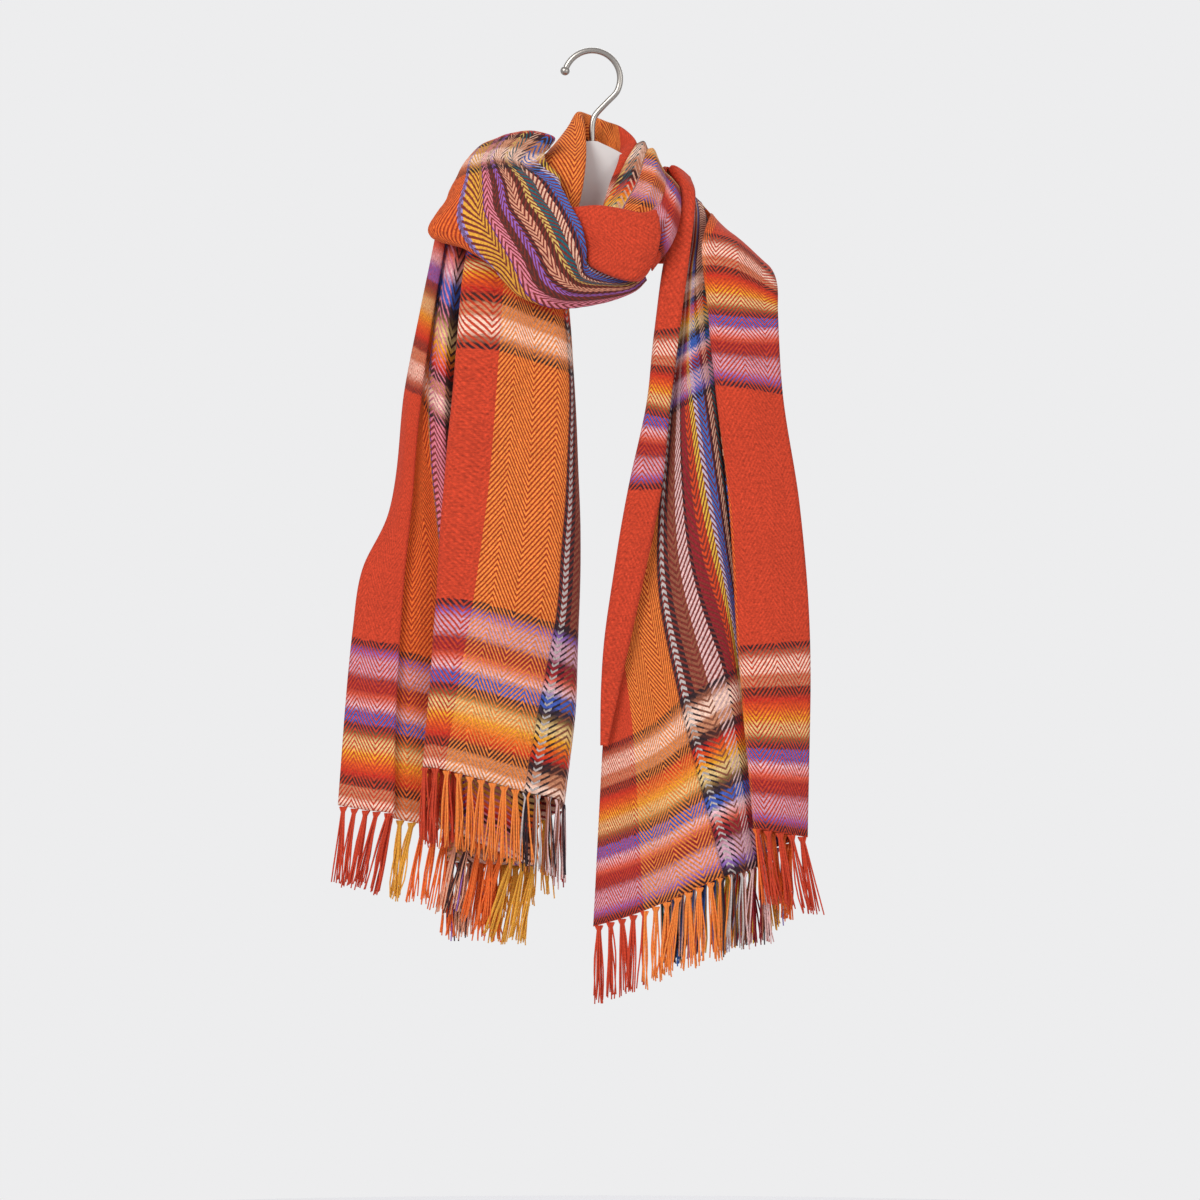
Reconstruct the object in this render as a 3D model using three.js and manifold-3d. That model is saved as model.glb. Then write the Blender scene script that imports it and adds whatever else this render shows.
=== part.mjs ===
// A wide woven scarf wound once round the neck of a plain clothes hanger, with fringe at both ends.
// Millimetres, +Z up. The front faces -Y, and the origin is the inner top of the hanger's hook,
// where a rail carries it. Each stretch of cloth that shows is one thin wall, lofted through fold lines.

import * as THREE from 'three';
import { mergeVertices } from 'three/addons/utils/BufferGeometryUtils.js';
import Module from 'manifold-3d';

const wasm = await Module();
wasm.setup();

// Driving sizes
const CLOTH = 2.0;            // thickness of the cloth wall
const SEAM = 0.3;             // gap between two stretches that continue each other
const FRINGE_LENGTH = 66;     // a strand from the hem to its tip
const STRIP_DEPTH = 3.6;      // the narrow backing that the strands grow from
const STRIP_THICKNESS = 2.8;
const WIRE_RADIUS = 2.6;      // the hook's wire
const HOOK_RADIUS = 24;       // the hook's centre line
const HOOK_CENTRE = -(HOOK_RADIUS - WIRE_RADIUS);
const KNOB_RADIUS = 4;        // the ball on the hook's free end
const HANGER_DEPTH = 14;      // the hanger's body, front to back
const HANGER_HALF = 125;      // the hanger's half width, out to an arm's tip
const HANGER_TOP = -76.5;
const SOCKET_DEPTH = 18;      // how deep the wire stands in the hanger

const degrees = (angle) => angle * Math.PI / 180;
const point = (values) => new THREE.Vector3(...values);

// Materials
const finish = (color, roughness, metalness = 0) => new THREE.MeshStandardMaterial({ color, roughness, metalness });
const red = finish(0xc8432a, 0.85);
const orange = finish(0xd9712f, 0.85);
const striped = finish(0xa86a5c, 0.85);
const steel = finish(0xb5b0a8, 0.3, 1);
const white = finish(0xe8e6e2, 0.5);

// Closed solids

function fromTriangles(positions, indices) {
  const geometry = new THREE.BufferGeometry();
  geometry.setAttribute('position', new THREE.Float32BufferAttribute(positions, 3));
  geometry.setIndex(indices);
  return geometry;
}

function toSolid(geometry) {
  const bare = geometry.clone();
  bare.deleteAttribute('normal');
  bare.deleteAttribute('uv');
  const merged = mergeVertices(bare, 1e-4);
  return new wasm.Manifold(new wasm.Mesh({
    numProp: 3,
    vertProperties: new Float32Array(merged.attributes.position.array),
    triVerts: new Uint32Array(merged.index.array),
  }));
}

function toGeometry(solid) {
  const mesh = solid.getMesh();
  return fromTriangles(mesh.vertProperties, Array.from(mesh.triVerts));
}

// The points of a smooth curve through the given ones, `steps` to each span, so that every given point is kept.
function smooth(points, steps) {
  const curve = new THREE.CatmullRomCurve3(points, false, 'centripetal');
  const count = (points.length - 1) * steps;
  return Array.from({ length: count + 1 }, (_, i) => curve.getPoint(i / count));
}

// A grid of points over the cloth's middle: lines run along the scarf, and each row crosses them.
function clothGrid(lines, alongSteps, acrossSteps) {
  const along = lines.map((line) => smooth(line.map(point), alongSteps));
  return along[0].map((_, row) => smooth(along.map((line) => line[row]), acrossSteps));
}

const transpose = (table) => table[0].map((_, column) => table.map((row) => row[column]));

function gridNormal(grid, row, column) {
  const last = grid.length - 1;
  const edge = grid[0].length - 1;
  const along = grid[Math.min(row + 1, last)][column].clone().sub(grid[Math.max(row - 1, 0)][column]);
  const across = grid[row][Math.min(column + 1, edge)].clone().sub(grid[row][Math.max(column - 1, 0)]);
  return across.cross(along).normalize();
}

// A closed wall of even thickness round a grid of points.
function wall(grid, thickness = CLOTH) {
  const rows = grid.length;
  const columns = grid[0].length;
  const positions = [];
  for (const side of [0.5, -0.5]) {
    grid.forEach((line, row) => line.forEach((middle, column) => {
      const moved = middle.clone().addScaledVector(gridNormal(grid, row, column), side * thickness);
      positions.push(moved.x, moved.y, moved.z);
    }));
  }
  const back = rows * columns;
  const at = (row, column) => row * columns + column;
  const indices = [];
  const quad = (a, b, c, d) => indices.push(a, b, c, a, c, d);
  for (let row = 0; row < rows - 1; row++) {
    for (let column = 0; column < columns - 1; column++) {
      const corners = [at(row, column), at(row, column + 1), at(row + 1, column + 1), at(row + 1, column)];
      quad(...corners);
      quad(...corners.reverse().map((corner) => corner + back));
    }
  }
  for (let column = 0; column < columns - 1; column++) {
    const low = [at(0, column), at(0, column + 1)];
    const high = [at(rows - 1, column), at(rows - 1, column + 1)];
    quad(low[1], low[0], low[0] + back, low[1] + back);
    quad(high[0], high[1], high[1] + back, high[0] + back);
  }
  for (let row = 0; row < rows - 1; row++) {
    const start = [at(row, 0), at(row + 1, 0)];
    const end = [at(row, columns - 1), at(row + 1, columns - 1)];
    quad(start[0], start[1], start[1] + back, start[0] + back);
    quad(end[1], end[0], end[0] + back, end[1] + back);
  }
  return fromTriangles(positions, indices);
}

// The hanger

const armTop = (x) => HANGER_TOP - 0.36 * Math.abs(x) - 0.0045 * x * x;
const armUnderside = (x) => HANGER_TOP - 66 - 0.0045 * x * x;

function hangerBody() {
  const steps = 9;
  const stations = Array.from({ length: 2 * steps + 1 }, (_, i) => HANGER_HALF * (i / steps - 1));
  const top = stations.map((x) => new THREE.Vector2(x, armTop(x)));
  const bottom = stations.map((x) => new THREE.Vector2(x, armUnderside(x))).reverse();
  const outline = new THREE.Shape([...top, ...bottom]);
  const bevel = 3;
  const body = new THREE.ExtrudeGeometry(outline, {
    depth: HANGER_DEPTH - 2 * bevel, steps: 1, bevelEnabled: true,
    bevelSize: bevel, bevelThickness: bevel, bevelOffset: -bevel, bevelSegments: 1,
  });
  body.translate(0, 0, bevel - HANGER_DEPTH / 2);
  body.rotateX(Math.PI / 2);
  const socket = new THREE.CylinderGeometry(WIRE_RADIUS + SEAM, WIRE_RADIUS + SEAM, 2 * SOCKET_DEPTH, 16);
  socket.rotateX(Math.PI / 2);
  socket.translate(0, 0, HANGER_TOP);
  return toGeometry(toSolid(body).subtract(toSolid(socket)));
}

function hangerHook() {
  const startAngle = 164;
  const endAngle = -30;
  const arcSteps = 16;
  const arc = Array.from({ length: arcSteps + 1 }, (_, i) => {
    const angle = degrees(startAngle + (endAngle - startAngle) * i / arcSteps);
    return new THREE.Vector3(HOOK_RADIUS * Math.cos(angle), 0, HOOK_CENTRE + HOOK_RADIUS * Math.sin(angle));
  });
  const wireEnd = HANGER_TOP - SOCKET_DEPTH + SEAM;
  const shank = [[11, 0, -43.5], [2.6, 0, -53], [0.3, 0, -60], [0, 0, -76], [0, 0, wireEnd]].map(point);
  const path = new THREE.CatmullRomCurve3([...arc, ...shank], false, 'centripetal');
  const sides = 8;
  const section = new THREE.Shape(Array.from({ length: sides }, (_, i) => {
    const angle = 2 * Math.PI * i / sides;
    return new THREE.Vector2(WIRE_RADIUS * Math.cos(angle), WIRE_RADIUS * Math.sin(angle));
  }));
  const wire = new THREE.ExtrudeGeometry(section, { steps: 30, bevelEnabled: false, extrudePath: path });
  const knob = new THREE.SphereGeometry(KNOB_RADIUS, 10, 6);
  knob.translate(arc[0].x, arc[0].y, arc[0].z);
  return toGeometry(toSolid(wire).add(toSolid(knob)));
}

// Fold lines, each a list of [x, y, z] along the scarf

// The end that hangs at the left. From its outer selvedge the cloth runs right, back and forth behind
// itself, round the right-hand edge and back across the front to its other selvedge, turned under.
const LEFT_STATIONS = [0, 80, 150, 200, 250, 354, 420, 480];
const LEFT_FOLDS = [
  { hem: -642, top: -152, x: [-216, -210, -203, -195, -172, -159, -146, -132], y: [-42, -42, -42, -42, -42, -42, -40, -34] },
  { hem: -646, top: -153, x: [-192, -189, -184, -178, -164, -153, -141, -128], y: [-50, -50, -50, -50, -50, -49, -44, -37] },
  { hem: -649, top: -154, x: [-169, -167, -163, -160, -155, -146, -137, -124], y: [-54, -54, -54, -53, -52, -50, -43, -36] },
  { hem: -652, top: -155, x: [-171, -169, -166, -163, -157, -147, -138, -126], y: [-48, -48, -48, -47, -46, -44, -38, -31] },
  { hem: -657, top: -156, x: [-150, -149, -147, -145, -144, -143, -136, -125], y: [-45, -45, -45, -45, -44, -43, -34, -27] },
  { hem: -664, top: -156, x: [-122, -122, -124, -126, -131, -139, -134, -121], y: [-43, -43, -43, -43, -42, -42, -38, -31] },
  { hem: -674, top: -156, x: [-96, -100, -106, -112, -121, -128, -126, -116], y: [-45, -46, -46, -47, -50, -56, -51, -38] },
  { hem: -684, top: -156, x: [-74, -76, -80, -86, -98, -110, -110, -104], y: [-43, -43, -43, -43, -42, -40, -37, -32] },
  { hem: -692, top: -156, x: [-55, -57, -59, -61, -64, -68, -68, -64], y: [-41, -41, -41, -41, -40, -38, -36, -33] },
  { hem: -694, top: -156, x: [-48, -50, -52, -54, -57, -61, -61, -57], y: [-36, -36, -36, -36, -35, -33, -31, -28] },
  { hem: -694, top: -156, x: [-55, -57, -59, -61, -64, -68, -68, -64], y: [-31, -31, -31, -31, -30, -28, -26, -23] },
  { hem: -690, top: -156, x: [-118, -116, -114, -112, -112, -112, -108, -100], y: [-31, -31, -31, -31, -30, -28, -26, -23] },
  { hem: -689, top: -156, x: [-125, -123, -121, -119, -119, -119, -115, -107], y: [-26, -26, -26, -26, -25, -23, -21, -18] },
  { hem: -688, top: -156, x: [-118, -116, -114, -112, -112, -112, -108, -100], y: [-21, -21, -21, -21, -20, -18, -16, -13] },
  { hem: -660, top: -156, x: [-50, -42, -40, -38, -39, -43, -46, -52], y: [-25, -25, -25, -25, -24, -22, -20, -17] },
  { hem: -640, top: -156, x: [-24, -15, -12, -10, -11, -16, -21, -28], y: [-44, -44, -44, -44, -42, -38, -32, -29] },
  { hem: -630, top: -156, x: [-58, -44, -31, -27, -23, -20, -26, -31], y: [-62, -63, -63, -63, -62, -56, -47, -42] },
  { hem: -620, top: -156, x: [-92, -79, -66, -60, -55, -50, -51, -47], y: [-67, -68, -68, -68, -67, -61, -50, -45] },
  { hem: -611, top: -156, x: [-126, -113, -101, -94, -88, -80, -75, -66], y: [-67, -67, -67, -67, -66, -61, -51, -46] },
  { hem: -609, top: -157, x: [-140, -133, -128, -125, -121, -112, -106, -98], y: [-65, -65, -65, -65, -64, -60, -51, -47] },
  { hem: -610, top: -157, x: [-143, -136, -131, -128, -124, -115, -109, -101], y: [-60, -60, -60, -60, -59, -56, -47, -42.5] },
  { hem: -611, top: -157, x: [-112, -106, -103, -102, -99, -93, -88, -85], y: [-57, -57, -57, -57, -56, -52, -42.5, -38] },
];
// Heights follow the length from the hem, and the last station closes up to the line's top.
const leftLines = LEFT_FOLDS.map(({ hem, top, x, y }) => LEFT_STATIONS.map((station, i) => {
  const atTop = i === LEFT_STATIONS.length - 1;
  return [x[i], y[i], atTop ? top : hem + station];
}));

// The pass that stands up at the left of the neck, goes behind it and comes down at its right.
// Each section runs from the outside, over the edge at the neck, to the inside.
const COLLAR_SECTIONS = [
  [[-66, -46, -154.4], [-47, -45, -154.4], [-31, -42, -154.4], [-27, -35, -154.4], [-29, -29, -154.4]],
  [[-52, -36, -142], [-35, -42, -143], [-18, -45, -144], [-15, -39, -144], [-17, -33, -143]],
  [[-49, -31, -127], [-29, -41, -129], [-13, -44, -131], [-11.5, -38, -131], [-14, -32, -130]],
  [[-52, -26, -108], [-28, -36, -110], [-8.5, -38, -110], [-8, -32, -110], [-10, -26, -110]],
  [[-52, -18, -93], [-27, -27, -91], [-6.5, -29, -90], [-6, -23, -90], [-8, -17, -92]],
  [[-40, -6, -87], [-25, -15, -79], [-6.5, -18, -77], [-6, -13, -74], [-8, -9, -72]],
  [[-34, 5, -80], [-22, -1, -69], [-8.5, -6, -60], [-7, -1, -60], [-8, 2, -64]],
  [[-28, 19, -76], [-19, 14, -62], [-12, 9, -50], [-8, 9, -53], [-7, 10, -66]],
  [[-8, 29, -90], [-3, 25, -64], [-1, 19, -52.5], [0, 14.5, -58], [1, 12, -84]],
  [[13, 30, -97], [12, 26, -68], [11, 20, -57], [11, 15, -66], [11, 12, -92]],
  [[33, 27, -103], [28, 23, -74], [25, 17, -63], [23.5, 12.5, -76], [21, 11, -92]],
  [[41, 10, -92], [39, 7, -83], [37, 3, -75.5], [31, 1, -79.8], [24, 0, -83.8]],
  [[40, -7.6, -94.4], [37, -8.6, -91.6], [34, -9.5, -89], [29, -11, -90], [22.5, -12, -93.5]],
  [[32, -14, -108], [29, -16, -107.5], [26, -18, -107], [21, -19, -108], [16, -20, -110]],
  [[20, -28, -130], [17, -29, -131], [14, -30.5, -132], [11.5, -31, -132], [9, -31.5, -133]],
];

// Three rolled folds that come over the right of the neck and gather at the front.
const RIGHT_FOLD_SECTIONS = [
  [[26, 33, -80], [27, 34, -86], [28, 34, -94], [30, 34, -104], [32, 34, -116], [34, 33, -128], [35, 32, -138]],
  [[43, 21, -88], [46, 23, -84], [49, 27, -91], [53, 25, -91], [57, 29, -107], [61, 27, -119], [64, 29, -130]],
  [[40.6, 6, -79.4], [45, 5, -76.5], [49, 10, -84], [53, 7, -83], [59, 13, -102], [65, 10, -111], [68, 14, -121]],
  [[39, -5, -77.5], [43.5, -8, -76], [47, -3, -82], [52, -10, -83], [61, -3, -100], [68, -12, -107], [73.6, -7.4, -114]],
  [[31, -16, -90], [38, -22, -89], [43, -18, -94], [54, -28, -98], [62, -21, -109], [71, -32, -121], [75.6, -26, -128]],
  [[20, -28, -113], [30, -35, -111], [37, -31, -113], [48, -42, -117], [59, -35, -125], [69, -47, -140], [74, -39, -146]],
  [[9.5, -40, -134], [18, -46, -133], [26, -43, -134], [37, -54, -137], [48, -48, -139], [64, -58, -161], [67, -51, -166]],
  [[3, -43, -150], [10, -48, -151], [16, -46, -154], [26, -53, -158], [36, -50, -164], [50, -55, -181], [51, -49, -188]],
];

// The edge of the cloth that is turned over below the neck, top to bottom.
const TURN_SECTIONS = [
  [[-11, -51, -143], [5, -56, -140], [27, -59, -143], [43, -60, -146], [50, -56, -144]],
  [[-17, -60, -135], [5, -65, -133.5], [27, -68, -137], [43, -69, -140], [54, -65, -137]],
  [[-15, -62, -151], [8, -70, -153], [28, -73, -155], [45, -72, -156], [58, -66, -155]],
  [[-6, -62, -168], [12, -70, -172], [28, -74, -174], [43, -72, -175], [54.5, -65, -175]],
  [[-2, -64, -183], [10, -67, -189], [26, -71, -194], [37, -70, -195], [47.5, -63, -190]],
  [[3, -58, -186], [13, -61, -191], [25, -63, -195.5], [33, -62, -197], [41, -58, -197]],
];

// The broad striped pass across the front, from under the turned edge, round below, up to the left
// and over the left shoulder. Each section runs from the edge at the neck to the outer edge.
const COWL_SECTIONS = [
  [[43, -42, -170], [44, -42, -187], [45, -43, -190], [45.5, -44, -193], [46, -43, -195], [46, -40, -195], [44, -37, -192]],
  [[28, -42, -172], [29, -51, -197], [31, -54, -201], [34, -55, -203], [36, -53, -204], [37, -48, -204], [34, -43, -201]],
  [[10, -42, -173], [11, -57, -197], [12, -62, -202], [14, -64, -207], [15, -62, -211], [16, -56, -213], [14, -48, -211]],
  [[-10, -52, -175], [-6, -68, -188], [-13, -75, -198], [-20, -78, -207], [-27, -75, -215], [-31, -66, -219], [-27, -57, -215]],
  [[-9, -64, -171], [-6, -70, -170], [-20, -79, -183], [-36, -83, -196], [-51, -79, -207], [-61, -68, -212], [-54, -58, -206]],
  [[-14, -65, -152], [-11, -71, -151], [-29, -81, -162], [-48, -86, -172], [-68, -81, -182], [-84, -68, -185], [-75, -57, -180]],
  [[-22, -63, -137], [-19, -69, -136], [-37, -80, -144], [-61, -86, -151], [-87, -81, -160], [-110, -64, -170], [-100, -54, -166]],
  [[-29, -60, -124], [-26, -66, -123], [-44, -77, -128], [-68, -84, -133], [-98, -79, -141], [-138, -56, -155], [-124, -48, -154]],
  [[-29, -47, -109], [-33, -61, -113], [-50, -73, -114], [-71, -80, -116], [-97, -75, -121], [-123, -54, -128], [-117, -44, -131]],
  [[-37, -41, -99], [-46, -55, -105], [-60, -67, -104], [-78, -73, -103], [-96, -67, -105], [-116, -48, -111], [-111, -38, -114]],
  [[-41, -34, -89], [-56, -45, -95], [-68, -55, -92], [-81, -61, -91], [-95, -55, -94], [-110, -38, -97], [-107, -29, -101]],
  [[-36, -25, -80], [-32, -31, -74.5], [-48, -38, -69.5], [-67, -40, -71.5], [-83, -36, -76], [-97, -24, -83], [-94, -15, -89]],
  [[-48, -3, -83], [-43, -9, -76], [-54, -13, -71.5], [-70, -15, -72], [-86, -11, -78], [-98, -1, -87], [-92, 3, -94]],
  [[-48, 19, -88], [-43, 16, -82], [-54, 14, -76], [-70, 13, -77], [-84, 16, -84], [-94, 23, -97], [-89, 23, -104]],
];

// The same pass behind the neck, hanging from its upper edge, and out over the right shoulder.
const BACK_SECTIONS = [
  [[-48, 20.3, -88.5], [-43, 17.3, -82.5], [-54, 15.3, -76.5], [-70, 14.3, -77.5], [-84, 17.3, -84.5], [-94, 24.3, -97.5], [-89, 24.3, -104.5]],
  [[-46, 30, -93], [-42, 29, -85], [-51, 32, -79], [-65, 34, -83], [-77, 36, -92], [-88, 38, -107], [-84, 35, -114]],
  [[-41, 35, -96], [-38, 39, -86], [-46, 44, -86], [-58, 48, -101], [-68, 49, -120], [-75, 46, -141], [-71, 40, -147]],
  [[-12, 39, -84], [-10, 44, -74], [-12, 51, -84], [-15, 55, -108], [-17, 54, -134], [-18, 49, -160], [-16, 42, -165]],
  [[20, 41, -90], [20, 46, -80], [21, 52, -90], [22, 56, -114], [23, 55, -142], [23, 50, -170], [21, 43, -175]],
  [[50, 41, -108], [52, 45, -95], [57, 50, -105], [63, 51, -126], [69, 49, -150], [74, 45, -172], [73, 38, -178]],
  [[61, 36, -107], [62, 39, -95.5], [72, 42, -107], [84, 44, -128], [96, 42, -149], [108, 39, -170], [113, 34, -179]],
  [[63, 15.5, -103], [65, 17.8, -97], [79, 19.2, -112], [93, 20.6, -127], [106, 21.8, -142], [119, 24, -159], [132, 26.2, -176]],
];

// The end that hangs at the right, from its hem up and over the shoulder. The first selvedge is
// folded over onto the front, and the striped middle runs on behind the panel beside it.
const RIGHT_LINES = [
  [[1, -46, -745], [9, -48, -592], [15, -49.5, -486], [33, -51, -375], [48, -51, -303], [55, -48, -236], [64, -33, -176],
    [78.5, -6, -122], [68, 16, -101]],
  [[32, -46, -736], [32, -49, -582], [27, -51, -477], [42, -51.5, -360], [56, -51.5, -288], [63, -48, -224], [70, -32, -174],
    [81, -6, -126], [73.5, 17, -106.5]],
  [[68, -47, -722], [54, -50, -570], [40, -52, -464], [53, -52, -342], [64, -52, -270], [70, -48, -211], [77, -30, -170],
    [83, -6, -130], [79, 18, -112.5]],
  [[113, -51, -702], [75, -52, -552], [56, -53, -447], [65, -52, -314], [74, -50, -247], [79, -43, -192], [84, -28, -164],
    [86, -5, -134], [84, 18.5, -118]],
  [[123, -55, -700], [98, -59, -538], [82, -60, -434], [80, -57, -303], [84, -52, -239], [87, -43, -187], [90, -26, -161],
    [91, -4, -137], [89, 19, -123.5]],
  [[131, -52, -698], [119, -52, -526], [107, -52, -420], [94, -51, -295], [92, -46, -233], [92, -38, -183], [95, -23, -159],
    [96, -2, -140], [94, 19.5, -128]],
  [[141, -46, -694], [130, -46, -522], [118, -46, -416], [105, -45, -290], [101, -40, -228], [99, -32, -182], [100, -17, -160],
    [101, 1, -149], [97, 18, -137]],
];

// That selvedge where it is folded over onto the front, from its tip up to the shoulder.
const FLAP_LINES = [
  [[13, -53, -592], [24, -56, -540], [36, -60, -486], [59, -63, -374], [66, -63, -306], [75, -59, -234], [84, -45, -166],
    [88, -22, -123], [84, 4, -106]],
  [[10, -54, -591], [16, -57, -540], [24, -61, -486], [45, -64, -375], [57, -64, -304], [65, -59, -235], [73, -44, -170],
    [83, -19, -118], [76, 9, -99]],
  [[8, -53, -591], [9, -56, -539], [14, -60, -486], [32, -63, -375], [48, -63, -302], [55, -58, -236], [64, -43, -174],
    [78.5, -15, -116.5], [68.5, 13, -95.5]],
  [[8, -49.6, -591], [9.5, -50.4, -539], [13.5, -51.2, -486], [31.5, -52.8, -375], [46.5, -52.8, -302], [53.5, -49.8, -236],
    [62.5, -35, -175.5], [76.5, -8.5, -119.5], [66.5, 15, -98.9]],
];

// The panel at that end's other selvedge, in front of it, with its inner edge turned under.
const PANEL_LINES = [
  [[149, -51, -663], [136, -51, -508], [129, -51, -392], [115, -50, -287], [110, -45, -222], [106, -38, -173], [107, -23, -160],
    [108, -4, -154], [102, 14, -151]],
  [[138, -56, -661], [124, -57, -506], [117, -57, -391], [105, -56, -286], [99, -51, -220], [94, -45, -167], [97, -31, -151],
    [101, -10, -140], [102, 20, -136]],
  [[160, -60, -665], [154, -61, -503], [145, -61, -389], [131, -59, -289], [124, -53, -222], [118, -45, -170], [118, -28, -157],
    [118, -5, -154], [115, 22, -155]],
  [[183, -53, -669], [185, -54, -501], [176, -54, -386], [162, -52, -294], [158, -46, -225], [157, -36, -198], [152, -18, -184],
    [143, 3, -177], [131, 24.2, -176.6]],
];

// The cloth pleated away behind that end, between the striped middle and the panel.
const PLEAT_LINES = [
  [[141.7, -45.6, -694], [130.7, -45.6, -522], [118.7, -45.6, -416], [105.7, -44.6, -290]],
  [[149, -41, -693], [138, -41, -521], [126, -41, -415], [112, -41, -290]],
  [[142, -37, -694], [131, -37, -522], [119, -37, -416], [106, -37, -291]],
  [[66, -36, -712], [46, -37, -560], [42, -37, -440], [56, -36, -300]],
  [[59, -31, -712], [39, -32, -560], [35, -32, -440], [50, -31, -300]],
  [[66, -26, -712], [46, -27, -560], [42, -27, -440], [56, -26, -300]],
  [[162, -30, -676], [158, -31, -520], [150, -31, -400], [136, -29, -300]],
  [[170, -37, -672], [166, -38, -516], [158, -38, -398], [143, -36, -294]],
  [[163, -44, -666], [158, -45, -511], [150, -45, -394], [136, -43, -289]],
  [[150, -50.6, -663], [137, -50.6, -508], [130, -50.6, -392], [116, -49.6, -287]],
];

// Fringe

// A fixed sequence of numbers from 0 to 1, so that the strands fall unevenly but always alike.
function uneven(seed) {
  let state = seed;
  return () => {
    state = (state * 1103515245 + 12345) % 2147483648;
    return state / 2147483648;
  };
}

// The hem's line of points, evened out to a given spacing.
function evenPath(points, spacing) {
  const path = new THREE.CatmullRomCurve3(points, false, 'centripetal');
  path.arcLengthDivisions = 400;
  const count = Math.max(2, Math.round(path.getLength() / spacing));
  return path.getSpacedPoints(count);
}

function strand(root, tip) {
  const sides = 3;
  const rings = [{ middle: root, radius: 1 }, { middle: tip, radius: 1.4 }];
  const positions = rings.flatMap(({ middle, radius }) => Array.from({ length: sides }, (_, side) => {
    const angle = 2 * Math.PI * side / sides;
    return [middle.x + radius * Math.cos(angle), middle.y + radius * Math.sin(angle), middle.z];
  }).flat());
  const indices = [0, 1, 2, 3, 5, 4];
  for (let side = 0; side < sides; side++) {
    const next = (side + 1) % sides;
    indices.push(side, side + sides, next + sides, side, next + sides, next);
  }
  return fromTriangles(positions, indices);
}

// One backing strip just below a hem, with its strands in bunches that spread from one knot.
function fringe(hem, seed, { spacing = 14, perBunch = 3, spread = 10 } = {}) {
  const random = uneven(seed);
  const hemGap = 4 * SEAM;
  const strandGap = 2.9;
  const stripPath = evenPath(hem, spacing / 2);
  const heights = [-hemGap - STRIP_DEPTH, -hemGap];
  const stripGrid = heights.map((drop) => stripPath.map((p) => p.clone().add(new THREE.Vector3(0, 0, drop))));
  let solid = toSolid(wall(stripGrid, STRIP_THICKNESS));
  for (let i = 1; i < stripPath.length - 1; i += 2) {
    const sideways = stripPath[i + 1].clone().sub(stripPath[i - 1]).setZ(0).normalize();
    const lean = (random() - 0.5) * spread;
    for (let n = 0; n < perBunch; n++) {
      const share = n - (perBunch - 1) / 2;
      const neighbour = stripPath[i + Math.sign(share)];
      const root = stripPath[i].clone().lerp(neighbour, Math.abs(share) * strandGap / (spacing / 2));
      root.z -= hemGap + STRIP_DEPTH - 1;
      const drop = FRINGE_LENGTH * (0.94 + 0.12 * random());
      const tip = root.clone().add(new THREE.Vector3(lean, (random() - 0.5) * 3, -drop));
      tip.addScaledVector(sideways, share * spread * 0.35);
      solid = solid.add(toSolid(strand(root, tip)));
    }
  }
  return toGeometry(solid);
}

// The object

const scarf = new THREE.Group();
function place(name, geometry, material) {
  const mesh = new THREE.Mesh(geometry, material);
  mesh.name = name;
  scarf.add(mesh);
}

const leftGrid = clothGrid(leftLines, 2, 2);
const rightGrid = clothGrid(RIGHT_LINES, 2, 2);
const flapGrid = clothGrid(FLAP_LINES, 2, 2);
const panelGrid = clothGrid(PANEL_LINES, 2, 3);
const pleatGrid = clothGrid(PLEAT_LINES, 2, 2);

place('hanger_body', hangerBody(), white);
place('hanger_hook', hangerHook(), steel);
place('left_end', wall(leftGrid), orange);
place('neck_collar', wall(clothGrid(transpose(COLLAR_SECTIONS), 2, 2)), orange);
place('neck_right_folds', wall(clothGrid(transpose(RIGHT_FOLD_SECTIONS), 2, 3)), striped);
place('neck_turn', wall(clothGrid(transpose(TURN_SECTIONS), 2, 2)), red);
place('cowl_front', wall(clothGrid(transpose(COWL_SECTIONS), 2, 2)), striped);
place('neck_back', wall(clothGrid(transpose(BACK_SECTIONS), 2, 2)), orange);
place('right_end', wall(rightGrid), orange);
place('right_flap', wall(flapGrid), red);
place('right_panel', wall(panelGrid), red);
place('right_pleat', wall(pleatGrid), striped);

// The left hem's grid has two points to a fold line, and is divided at two of its folds.
const REAR_FOLD = 19;
const FRONT_FOLD = 29;
place('left_fringe_back', fringe(leftGrid[0].slice(0, REAR_FOLD), 3), red);
place('left_fringe_rear', fringe(leftGrid[0].slice(REAR_FOLD + 1, FRONT_FOLD), 5, { perBunch: 2 }), orange);
place('left_fringe_front', fringe(leftGrid[0].slice(FRONT_FOLD + 1), 7), orange);
place('right_fringe_end', fringe(rightGrid[0], 11), orange);
place('right_fringe_panel', fringe(panelGrid[0], 13), red);
place('right_fringe_pleat', fringe(pleatGrid[0], 17, { spacing: 18, perBunch: 2 }), striped);

export default scarf;
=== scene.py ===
"""A wide plaid scarf with fringed ends, wound once round the neck of a plain clothes hanger.

Tables of the cloth's fold lines are in millimetres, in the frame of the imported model; meshes are in metres.
Each stretch of cloth is a thin woven shell whose texture coordinates are the cloth's own lengths: U runs
across the scarf from its first selvedge and V along it from the hem that hangs at the left.
"""

from __future__ import annotations

import logging
import math
from dataclasses import dataclass, field
from enum import Enum
from typing import Any, Sequence

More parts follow.
